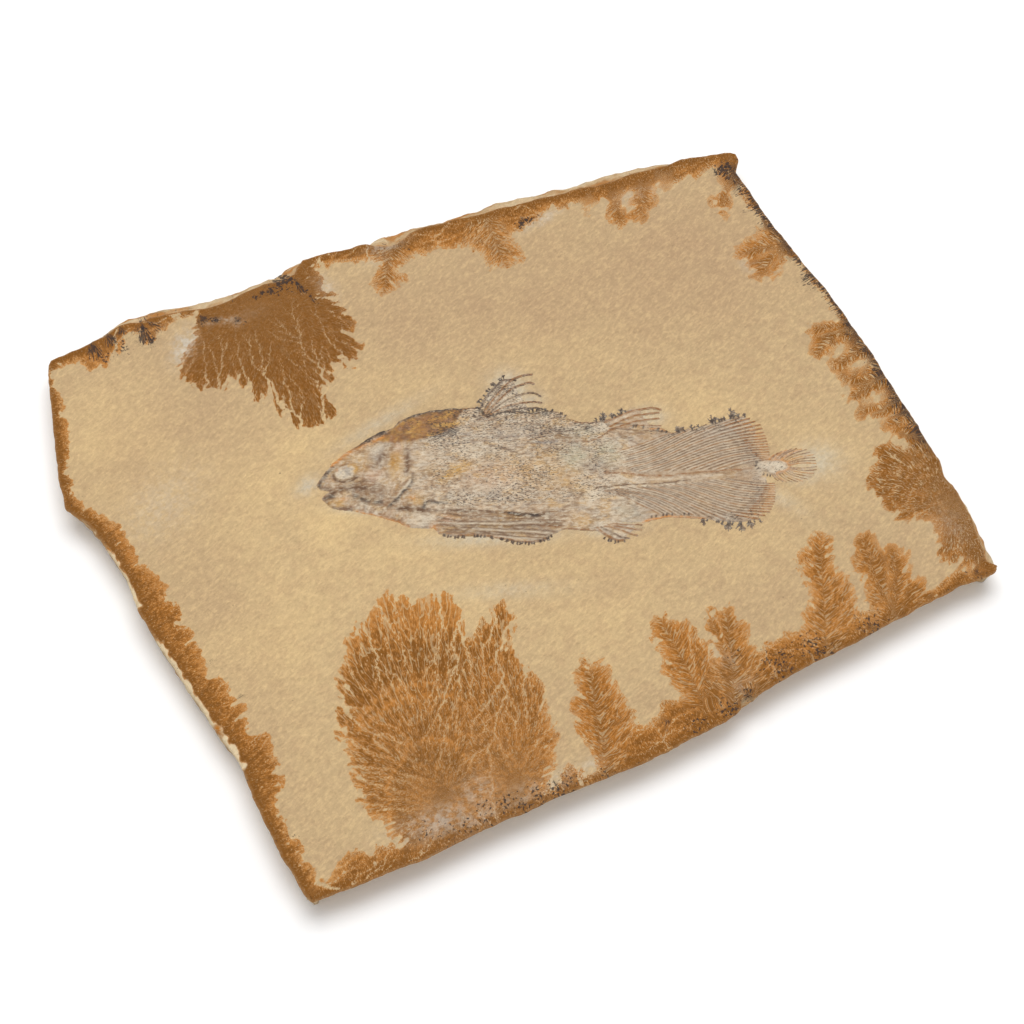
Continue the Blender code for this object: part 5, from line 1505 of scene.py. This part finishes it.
class Relief:
    """The fish on an even grid in its own frame: height above the bed, colour and speckling."""

    def __init__(self):
        self.us = np.arange(-9.0, 278.0, FISH_STEP)
        self.vs = np.arange(-50.0, 70.0, FISH_STEP)
        self.u, self.v = np.meshgrid(self.us, self.vs, indexing="ij")
        self.bent_u = self.u + 0.55 * layered(self.u, self.v, 5.0, 3, 201)
        self.bent_v = self.v + 0.55 * layered(self.u, self.v, 5.0, 3, 211)
        self.height = np.full(self.u.shape, -3.0)
        self.colour = np.zeros(self.u.shape + (3,))
        self.specks = np.full(self.u.shape, 0.5)
        self.scales = np.ones(self.u.shape)
        self.palette = bpy.context.scene.fossil_fish_colours

    def window(self, points, reach):
        """The part of the grid within reach of some points."""
        points = np.array(points, float)
        low, high = points[:, :2].min(axis=0) - reach, points[:, :2].max(axis=0) + reach
        a, b = np.searchsorted(self.us, (low[0], high[0]))
        c, d = np.searchsorted(self.vs, (low[1], high[1]))
        return slice(a, b), slice(c, d)

    def tinge(self, window, name, weight):
        """A colour of the palette laid on with a weight for each place."""
        share = np.clip(weight, 0.0, 1.0)[..., None]
        target = np.array(getattr(self.palette, name))
        self.colour[window] += (target - self.colour[window]) * share

    def sheet(self, outline, low, rise, reach):
        """A part's own surface: low at its outline, rising inwards, and sinking outside it."""
        window = self.window(outline, 3.0)
        depth = outline_depth(outline, self.bent_u[window], self.bent_v[window])
        inside = low + rise * (1.0 - np.exp(-np.maximum(depth, 0.0) / reach))
        surface = np.where(depth > 0.0, inside, low + 0.95 * depth)
        self.height[window] = np.maximum(self.height[window], surface)
        return window, depth

    def line(self, name, half, weight, lift, points, bent=True):
        """A line with soft sides, painted and raised; a negative lift cuts a groove."""
        points = softened(points)
        window = self.window(points, half * 2.5 + 1.5)
        u = self.bent_u[window] if bent else self.u[window]
        v = self.bent_v[window] if bent else self.v[window]
        apart, _ = line_distance(points, u, v)
        across = apart / half
        bell = np.exp(-across ** 2)
        rounded = np.clip(1.0 - (across / 1.5) ** 2, 0.0, 1.0)
        old = self.height[window]
        if lift > 0.0:
            raised = np.maximum(old, 0.04) + lift * rounded
            self.height[window] = np.where(rounded > 0.02, np.maximum(old, raised), old)
        elif lift < 0.0:
            self.height[window] = old + lift * bell
        gaps = 0.95 + (0.60 if bent else 0.30) * noise(u, v, 1.9, 271)
        self.tinge(window, name, weight * bell * np.clip(gaps, 0.45, 1.2))

    def oval(self, u, v, half_length, half_width, degrees):
        """A window round an oval, and how far out in it each place is: 1 on its rim."""
        reach = max(half_length, half_width) * 2.2
        window = self.window(((u, v),), reach)
        turn = math.radians(degrees)
        du, dv = self.bent_u[window] - u, self.bent_v[window] - v
        along_it = (du * math.cos(turn) + dv * math.sin(turn)) / half_length
        across_it = (dv * math.cos(turn) - du * math.sin(turn)) / half_width
        return window, np.hypot(along_it, across_it)


def ray_curve(root, tip, bow):
    """A ray from root to tip, bowed by a share of its length."""
    root, tip = np.array(root, float), np.array(tip, float)
    across = np.array((-(tip - root)[1], (tip - root)[0]))
    share = np.linspace(0.0, 1.0, 9)[:, None]
    return root + (tip - root) * share + across * bow * np.sin(math.pi * share ** 0.8)


def paint_body(relief):
    """Body and fin surfaces, their first colours, and the broad patches on them."""
    sizes = bpy.context.scene.fossil_fish
    body, fin = mm_of(sizes.body_height), mm_of(sizes.fin_height)
    everywhere = (slice(None), slice(None))
    relief.tinge(everywhere, "flesh", np.ones(relief.u.shape))
    u, v = relief.u, relief.v
    streaks = layered(u / 3.2, v, 1.6, 3, 221)
    clouds = layered(u, v, 9.0, 3, 223)
    relief.tinge(everywhere, "light", np.clip(0.10 + 0.42 * clouds + 0.25 * streaks, 0, 0.55))
    relief.tinge(everywhere, "dim", np.clip(0.02 - 0.34 * clouds - 0.42 * streaks, 0, 0.5))
    relief.sheet(BODY, 0.16, body, 9.0)
    for outline in (BELLY_FIN, SECOND_DORSAL, TAIL_FIN):
        relief.sheet(outline, 0.12, fin, 3.0)
    window, depth = relief.sheet(FIRST_DORSAL, 0.12, fin, 3.0)
    relief.tinge(window, "light", 0.65 * smooth(-1.0, 1.0, depth) * smooth(38.0, 44.0, v[window]))
    window, depth = relief.sheet(ANAL_FIN, 0.12, fin, 3.0)
    relief.tinge(window, "light", 0.65 * smooth(-1.0, 1.0, depth))
    window, depth = relief.sheet(TAIL_LOBE, 0.16, 0.75, 2.5)
    relief.tinge(window, "light", 0.55 * smooth(-0.5, 1.0, depth))
    tail = smooth(172.0, 186.0, u) * smooth(246.0, 240.0, u)
    relief.tinge(everywhere, "dim", 0.38 * tail)
    belly = smooth(-20.0, -25.0, v) * smooth(66.0, 72.0, u) * smooth(140.0, 130.0, u)
    relief.tinge(everywhere, "dim", 0.42 * belly)
    for plate in SKULL_PLATES:
        window, out = relief.oval(*plate[:5])
        dome = np.sqrt(np.clip(1.0 - out ** 2, 0.0, 1.0))
        relief.height[window] += plate[5] * (0.6 * dome + 0.4 * np.exp(-2.0 * out ** 2))
    head = smooth(57.0, 50.0, u)
    for name, size, seed in (("dim", 3.6, 301), ("grey", 4.4, 302), ("light", 2.8, 303),
                             ("ochre", 3.4, 304), ("umber", 2.2, 305), ("light", 1.7, 306),
                             ("dim", 1.6, 307), ("rust", 2.2, 308)):
        blots = layered(relief.bent_u, relief.bent_v, size, 3, seed)
        limit = 0.48 if name in ("dim", "light", "grey") else 0.34
        relief.tinge(everywhere, name, head * np.clip(1.9 * (blots - 0.10), 0.0, limit))
    for name, size, seed in (("dim", 2.4, 311), ("light", 2.6, 312), ("ochre", 3.4, 313),
                             ("grey", 3.0, 314), ("light", 1.3, 315), ("umber", 1.5, 316)):
        blots = layered(relief.bent_u / 2.0, relief.bent_v, size, 3, seed)
        relief.tinge(everywhere, name, (1.0 - head) * (1.0 - 0.6 * tail)
                     * np.clip(1.5 * (blots - 0.16), 0.0, 0.42))
    relief.height += 0.16 * head * layered(relief.bent_u, relief.bent_v, 3.0, 3, 321)
    for name, *oval, weight in FISH_PATCHES:
        window, out = relief.oval(*oval)
        ragged = 0.75 + 0.55 * layered(u[window], v[window], 3.2, 3, 231)
        relief.tinge(window, name, 1.1 * weight * np.exp(-out ** 2.4) * ragged)
    depth = outline_depth(NAPE, relief.bent_u, relief.bent_v)
    inside = smooth(-0.8, 1.2, depth)
    mottle = layered(u, v, 3.0, 3, 241)
    relief.tinge(everywhere, "rust", inside * (0.92 + 0.2 * mottle))
    relief.tinge(everywhere, "ochre", inside * np.clip(0.28 + 0.7 * mottle, 0, 0.75))
    dark = layered(u / 1.6, v, 2.2, 3, 242)
    upper_rim = np.exp(-np.maximum(depth, 0.0) / 3.0) * smooth(26.0, 30.0, v)
    relief.tinge(everywhere, "umber",
                 inside * np.clip(0.9 * dark - 0.12 + 0.55 * upper_rim, 0, 0.8))
    relief.height += 0.25 * inside
    relief.scales = 1.0 - 0.85 * inside - 0.35 * head * (1.0 - inside)
    window, out = relief.oval(*EYE)
    relief.tinge(window, "light", 0.85 * smooth(1.05, 0.80, out))
    relief.tinge(window, "grey", 0.75 * smooth(1.1, 0.5, out)
                 * np.clip(0.45 + 1.4 * noise(u[window], v[window], 1.5, 243), 0.0, 1.0))
    relief.tinge(window, "umber", 0.55 * np.exp(-((out - 1.08) / 0.12) ** 2)
                 * np.clip(0.7 + 0.8 * noise(u[window], v[window], 2.4, 245), 0.0, 1.0))
    relief.tinge(window, "orange", 0.8 * np.exp(-((out - 0.8) / 0.26) ** 2)
                 * smooth(-0.5, 2.5, relief.v[window] - EYE[1])
                 * np.clip(0.4 + 1.4 * noise(u[window], v[window], 1.6, 247), 0.0, 1.0))


def paint_lines(relief):
    """Bone edges, fin rays, the rays of the tail and tuft, and the black sprigs beside the fins."""
    ray = mm_of(bpy.context.scene.fossil_fish.ray_height)
    for name, half, weight, lift, *points in FISH_LINES:
        relief.line(name, half, weight, lift, pairs(*points))
    for name, half, weight, lift, *points in FIN_LINES:
        relief.line(name, 1.15 * half, weight, lift * ray / 0.35, pairs(*points), bent=False)
    for rows in TAIL_RAYS:
        rows = np.array(rows, float)
        steps = [line_distance(one.reshape(5, 2), other[4:5], other[5:6])[0][0]
                 for one, other in zip(rows[:-1], rows[1:])]
        run = np.concatenate(([0.0], np.cumsum(steps)))
        spots = np.linspace(0.0, run[-1], int(run[-1] / RAY_SPACING))
        rays = np.stack([np.interp(spots, run, column) for column in rows.T], axis=1)
        rays = rays.reshape(len(spots), 5, 2)
        between = 0.5 * (rays[:-1] + rays[1:])
        for curve in between:
            relief.line("light", 0.36, 0.55, 0.0, curve, bent=False)
        for number, curve in enumerate(rays):
            name = "umber" if number % 3 else "rust"
            relief.line(name, 0.34, 0.78, 0.85 * ray, curve, bent=False)
            if curve[-1, 0] > 238.0:
                outer = np.linspace(curve[-2], curve[-1], 4)
                relief.line("umber", 0.45, 0.5, 0.2 * ray, outer[:3], bent=False)
                relief.line("rust", 0.50, 0.95, 0.4 * ray, outer[1:], bent=False)
                relief.line("orange", 0.40, 0.50, 0.0, outer[2:], bent=False)
        for curve in between:
            if curve[-1, 0] > 240.0:
                gap = curve[-2] + (curve[-1] - curve[-2]) * np.array([[0.5], [1.05]])
                relief.line("light", 0.30, 0.85, -0.15, gap, bent=False)
                relief.line("ochre", 0.30, 0.40, 0.0, gap, bent=False)
    tuft = np.array(TUFT_RAYS, float)
    spots = np.linspace(0.0, len(tuft) - 1.0, 24)
    tuft = np.stack([np.interp(spots, np.arange(len(tuft)), column) for column in tuft.T], axis=1)
    for number, row in enumerate(tuft):
        curve = ray_curve(row[:2], row[2:], 0.07 if row[1] > -1.5 else -0.07)
        relief.line("orange" if number % 3 == 0 else "rust", 0.34, 0.8, 0.26, curve, bent=False)
    relief.line("orange", 0.7, 0.6, 0.10, TUFT_RIM, bent=False)
    random = np.random.default_rng(11)
    for a, b, c, d in BUSHES:
        paint_sprig(relief, np.array((a, b)), np.array((c, d)), random)
    for spacing, least, greatest, *edge in FRINGES:
        edge = softened(pairs(*edge))
        run = np.concatenate(([0.0], np.cumsum(np.hypot(*np.diff(edge, axis=0).T))))
        spots = np.arange(0.5 * spacing, run[-1], spacing)
        spots = spots + random.uniform(-0.45, 0.45, len(spots)) * spacing
        spots = spots[random.random(len(spots)) > 0.25]
        for spot in spots:
            foot, far, near = (np.array([np.interp(spot + step, run, edge[:, axis])
                                         for axis in (0, 1)]) for step in (0.0, 1.0, -1.0))
            ahead = (far - near) / math.hypot(*(far - near))
            lean = random.uniform(-0.3, 0.3)
            up = np.array((-ahead[1], ahead[0])) + lean * ahead
            height = least + (greatest - least) * random.random() ** 2
            paint_sprig(relief, foot - 0.3 * up, foot + height * up, random)


def paint_sprig(relief, root, tip, random):
    """A black mineral sprig: a stem, thick at its foot, with branches that lean forwards."""
    stem = tip - root
    length = math.hypot(*stem)
    ahead = stem / length
    across = np.array((-ahead[1], ahead[0]))
    relief.line("black", 0.42, 0.8, 0.10, (root, root + 0.45 * stem), bent=False)
    relief.line("black", 0.30, 0.85, 0.08, (root, tip), bent=False)
    for number in range(int(1.6 * length)):
        share = random.uniform(0.1, 0.8)
        foot = root + share * stem
        reach = 0.5 * length * (1.0 - share) * random.uniform(0.7, 1.3) + 0.3
        side = 1.0 if number % 2 else -1.0
        end = foot + reach * (0.8 * ahead + random.uniform(0.5, 1.0) * side * across)
        relief.line("black", 0.28, 0.75, 0.07, (foot, end), bent=False)


def paint_specks(relief):
    """How densely the black specks lie, and the last fine unevenness."""
    u, v = relief.u, relief.v
    trunk = smooth(52.0, 66.0, u) * smooth(182.0, 150.0, u) * smooth(-22.0, -16.0, v)
    upper = smooth(14.0, 30.0, v) * trunk
    tail = smooth(160.0, 180.0, u)
    cluster = layered(u / 1.6, v, 7.0, 2, 251)
    relief.specks = (0.14 + 0.27 * trunk + 0.07 * upper + 0.06 * tail + 0.16 * trunk * cluster)
    edge = outline_depth(BODY, relief.bent_u, relief.bent_v)
    rim = np.exp(-(edge / 1.2) ** 2) * smooth(40.0, 58.0, u) * smooth(160.0, 154.0, u) * (v > 20.0)
    relief.specks = np.maximum(relief.specks, (0.85 - 0.4 * smooth(126.0, 134.0, u)) * rim)
    thin = np.maximum(smooth(1.0, -2.0, edge), smooth(168.0, 186.0, u))
    relief.scales *= 1.0 - 0.5 * thin
    tail_rim = smooth(226.0, 238.0, u) * smooth(246.0, 242.0, u)
    relief.specks = np.maximum(relief.specks, 0.34 * tail_rim)
    lobe = outline_depth(TAIL_LOBE, u, v)
    relief.specks = np.maximum(relief.specks, 0.34 * smooth(0.0, 1.0, lobe))
    for px, py, reach, weight in SPECK_SPOTS:
        relief.specks = np.maximum(relief.specks, weight * np.exp(
            -((u - px) ** 2 + (v - py) ** 2) / reach ** 2))
    lumps = 0.13 * layered(u, v, 6.0, 2, 261) + 0.10 * layered(u / 2.2, v, 1.5, 2, 263)
    relief.height += lumps * smooth(-0.3, 0.6, relief.height)


def build_fish():
    """The fish: one height over its own grid, kept where it shows, with a skirt and a flat base."""
    relief = Relief()
    paint_body(relief)
    paint_lines(relief)
    paint_specks(relief)
    up = relief.height.shape[1]
    tall = relief.height > -0.45
    keep = tall[:-1, :-1] | tall[1:, :-1] | tall[:-1, 1:] | tall[1:, 1:]
    i, j = np.nonzero(keep)
    corner = i * up + j
    quads = np.column_stack([corner, corner + up, corner + up + 1, corner + 1])
    used = np.zeros(relief.height.size, bool)
    used[quads.ravel()] = True
    number = np.cumsum(used) - 1
    padded = np.pad(keep, 1)
    skirts = []
    for di, dj, a, b in ((0, -1, 0, 1), (1, 0, 1, 2), (0, 1, 2, 3), (-1, 0, 3, 0)):
        open_side = ~padded[i + 1 + di, j + 1 + dj]
        skirts.append(np.column_stack([quads[open_side, a], quads[open_side, b]]))
    edges = number[np.concatenate(skirts)]
    quads = number[quads]
    x, y = to_slab(relief.u.ravel()[used], relief.v.ravel()[used])
    z = bed_height(x, y) + np.maximum(relief.height.ravel()[used], -0.75)
    rim, place = np.unique(edges, return_inverse=True)
    place = place.reshape(edges.shape) + len(x)
    walls = np.column_stack([edges[:, 1], edges[:, 0], place[:, 0], place[:, 1]])
    low = np.column_stack([x[rim], y[rim], np.full(len(rim), FISH_FLOOR)])
    points = np.concatenate([np.column_stack([x, y, z]), low])
    faces = np.concatenate([quads, walls])
    item = new_mesh("fish_fossil", points, faces.ravel(), np.full(len(faces), 4))
    close_base(item.data)

    def kept(values):
        """A grid's values on the fish's upper points and, repeated, on the skirt's foot."""
        values = values.reshape(relief.u.size, -1)[used]
        return np.squeeze(np.concatenate([values, values[rim]]))

    shown = kept(relief.colour)
    layer = item.data.attributes.new("paint", "FLOAT_COLOR", "POINT")
    layer.data.foreach_set("color", np.column_stack([shown, np.ones(len(shown))])
                           .astype(np.float32).ravel())
    store(item, "specks", kept(relief.specks))
    store(item, "scales", kept(relief.scales))
    store(item, "grow", np.column_stack([kept(relief.u), kept(relief.v), np.zeros(len(shown))]))
    item.data.materials.append(fish_material())
    finish_piece(item, "fish")
    return item


def close_base(mesh):
    """The skirt's lower border filled with flat faces that look down."""
    bm = bmesh.new()
    bm.from_mesh(mesh)
    border = [edge for edge in bm.edges if edge.is_boundary]
    made = bmesh.ops.triangle_fill(bm, edges=border, use_beauty=False, use_dissolve=False,
                                   normal=Vector((0.0, 0.0, -1.0)))
    faces = [item for item in made["geom"] if isinstance(item, bmesh.types.BMFace)]
    if not faces:
        raise RuntimeError("the underside of the fish was not closed")
    for face in faces:
        face.normal_update()
        if face.normal.z > 0.0:
            face.normal_flip()
    bm.to_mesh(mesh)
    bm.free()


def fish_material():
    """The painted colours of the fish under fine specks, streaked along it."""
    colours = bpy.context.scene.fossil_fish_colours
    material, n, _, grain = open_material("Fossil Bone", 0.55)
    axis = n.scaled(n.vector("grow"), (0.00042, 0.0011, 0.0))
    specks = n.group("Mineral Specks", Place=axis, Density=n.value("specks"), Size=1500.0)
    mottle = n.noise(axis, 700.0, 3.0, 0.6)
    scales = n.value("scales")
    colour = n.add("ShaderNodeAttribute", attribute_name="paint").outputs["Color"]
    colour = n.mix(n.times(n.band(mottle, 0.50, 0.63, 0.0, 0.55), scales), colour, colours.light)
    colour = n.mix(n.times(n.band(mottle, 0.47, 0.35, 0.0, 0.52), scales), colour, colours.dim)
    streak = n.noise(axis, 1900.0, 2.0, 0.6)
    colour = n.mix(n.band(streak, 0.53, 0.70, 0.0, 0.34), colour, colours.umber)
    colour = n.mix(n.times(specks["Mask"], 0.82), colour, colours.black)
    relief = n.plus(n.times(mottle, 0.8), n.times(grain["Height"], 0.35))
    close_material(n, colour, grain["Shade"],
                   {"Strength": 0.6, "Distance": 0.0005, "Height": relief},
                   {"Roughness": 0.68, "Specular IOR Level": 0.3})
    return material


# ---- The stage ---------------------------------------------------------------------------------

FLOOR_REACH = 6.0            # metres from the middle to each edge
LAMP_PLACE = (0.36, 0.78, 3.05)      # metres, and it points at the origin
LAMP_SIZE = (2.6, 2.2)
CAMERA_TURN = 24.4           # degrees from +Y towards +X
CAMERA_TILT = 60.0           # degrees below the level
LOOK_AT = (-4.9, -22.5, 18.0)        # millimetres


class StageSettings(bpy.types.PropertyGroup):
    """The camera's distance and the strength of the studio light."""
    camera_distance: FloatProperty(name="Camera distance", description="From the bed's middle",
                                   default=1.39, min=0.3, max=5.0, unit="LENGTH")
    key_power: FloatProperty(name="Key power", description="Power of the large soft light",
                             default=68.0, min=0.0, max=500.0)
    sky_strength: FloatProperty(name="Sky strength", description="Even light from all round",
                                default=0.60, min=0.0, max=5.0)


def build_stage():
    """A pale floor, an even white sky, one large soft light above the far side, and the camera."""
    settings = bpy.context.scene.fossil_stage
    scene = bpy.context.scene
    scene.view_settings.view_transform = "Standard"
    scene.view_settings.look = "None"

    floor_mesh = bpy.data.meshes.new("floor")
    floor_mesh.from_pydata([(x * FLOOR_REACH, y * FLOOR_REACH, 0) for x, y in
                            ((-1, -1), (1, -1), (1, 1), (-1, 1))], [], [(0, 1, 2, 3)])
    floor = bpy.data.objects.new("floor", floor_mesh)
    scene.collection.objects.link(floor)
    material = bpy.data.materials.new("Floor")
    material.use_nodes = True
    surface = material.node_tree.nodes["Principled BSDF"]
    surface.inputs["Base Color"].default_value = (0.975, 0.975, 0.975, 1.0)
    surface.inputs["Roughness"].default_value = 0.9
    surface.inputs["Specular IOR Level"].default_value = 0.0
    floor_mesh.materials.append(material)

    world = bpy.data.worlds.new("Studio")
    scene.world = world
    world.use_nodes = True
    background = world.node_tree.nodes["Background"]
    background.inputs["Color"].default_value = (1.0, 1.0, 1.0, 1.0)
    background.inputs["Strength"].default_value = settings.sky_strength

    lamp = bpy.data.lights.new("key", "AREA")
    lamp.shape, (lamp.size, lamp.size_y) = "RECTANGLE", LAMP_SIZE
    lamp.energy = settings.key_power
    key = bpy.data.objects.new("key", lamp)
    scene.collection.objects.link(key)
    key.location = LAMP_PLACE
    key.rotation_euler = (-Vector(LAMP_PLACE)).to_track_quat("-Z", "Y").to_euler()

    turn, tilt = math.radians(CAMERA_TURN), math.radians(CAMERA_TILT)
    ahead = Vector((math.sin(turn), math.cos(turn), 0.0))
    view = ahead * math.cos(tilt) + Vector((0.0, 0.0, -math.sin(tilt)))
    lens = bpy.data.cameras.new("camera")
    lens.lens, lens.sensor_width, lens.sensor_fit = 90.0, 36.0, "HORIZONTAL"
    lens.clip_end = 50.0
    camera = bpy.data.objects.new("camera", lens)
    scene.collection.objects.link(camera)
    target = Vector([value * MM for value in LOOK_AT])
    camera.location = target - view * settings.camera_distance
    camera.rotation_euler = view.to_track_quat("-Z", "Y").to_euler()
    scene.camera = camera


# ---- The add-on --------------------------------------------------------------------------------

class FOSSIL_OT_groups(bpy.types.Operator):
    """Make the node groups that both finishes share"""
    bl_idname = "fossil.shared_groups"
    bl_label = "Shared Finishes"

    def execute(self, context):
        grain_group()
        speckle_group()
        return {"FINISHED"}


class FOSSIL_OT_stone(bpy.types.Operator):
    """Build the limestone plate with its stains"""
    bl_idname = "fossil.build_stone"
    bl_label = "Limestone Plate"

    def execute(self, context):
        build_stone()
        return {"FINISHED"}


class FOSSIL_OT_fish(bpy.types.Operator):
    """Build the fish that lies in the plate"""
    bl_idname = "fossil.build_fish"
    bl_label = "Fossil Fish"

    def execute(self, context):
        build_fish()
        return {"FINISHED"}


class FOSSIL_OT_stage(bpy.types.Operator):
    """Build the floor, the light and the camera"""
    bl_idname = "fossil.build_stage"
    bl_label = "Studio"

    def execute(self, context):
        build_stage()
        return {"FINISHED"}


class FOSSIL_PT_panel(bpy.types.Panel):
    """Sizes, colours and the build steps"""
    bl_label = "Fossil Fish Slab"
    bl_space_type = "VIEW_3D"
    bl_region_type = "UI"
    bl_category = "Fossil"

    def draw(self, context):
        for group, _ in GROUPS:
            box = self.layout.box()
            for name in group.__annotations__:
                box.prop(getattr(context.scene, GROUP_NAMES[group]), name)
        for operator in OPERATORS:
            self.layout.operator(operator.bl_idname)


GROUP_NAMES = {StoneSizes: "fossil_stone", StoneColours: "fossil_stone_colours",
               FishSizes: "fossil_fish", FishColours: "fossil_fish_colours",
               StageSettings: "fossil_stage"}
GROUPS = tuple(GROUP_NAMES.items())
OPERATORS = (FOSSIL_OT_groups, FOSSIL_OT_stone, FOSSIL_OT_fish, FOSSIL_OT_stage)


def register():
    for group, name in GROUPS:
        bpy.utils.register_class(group)
        setattr(bpy.types.Scene, name, PointerProperty(type=group))
    for kind in OPERATORS + (FOSSIL_PT_panel,):
        bpy.utils.register_class(kind)


def unregister():
    for kind in (FOSSIL_PT_panel,) + OPERATORS[::-1]:
        bpy.utils.unregister_class(kind)
    for group, name in GROUPS[::-1]:
        delattr(bpy.types.Scene, name)
        bpy.utils.unregister_class(group)


def main():
    register()
    bpy.ops.fossil.shared_groups()
    bpy.ops.fossil.build_stone()
    bpy.ops.fossil.build_fish()
    bpy.ops.fossil.build_stage()


if __name__ == "__main__":
    main()
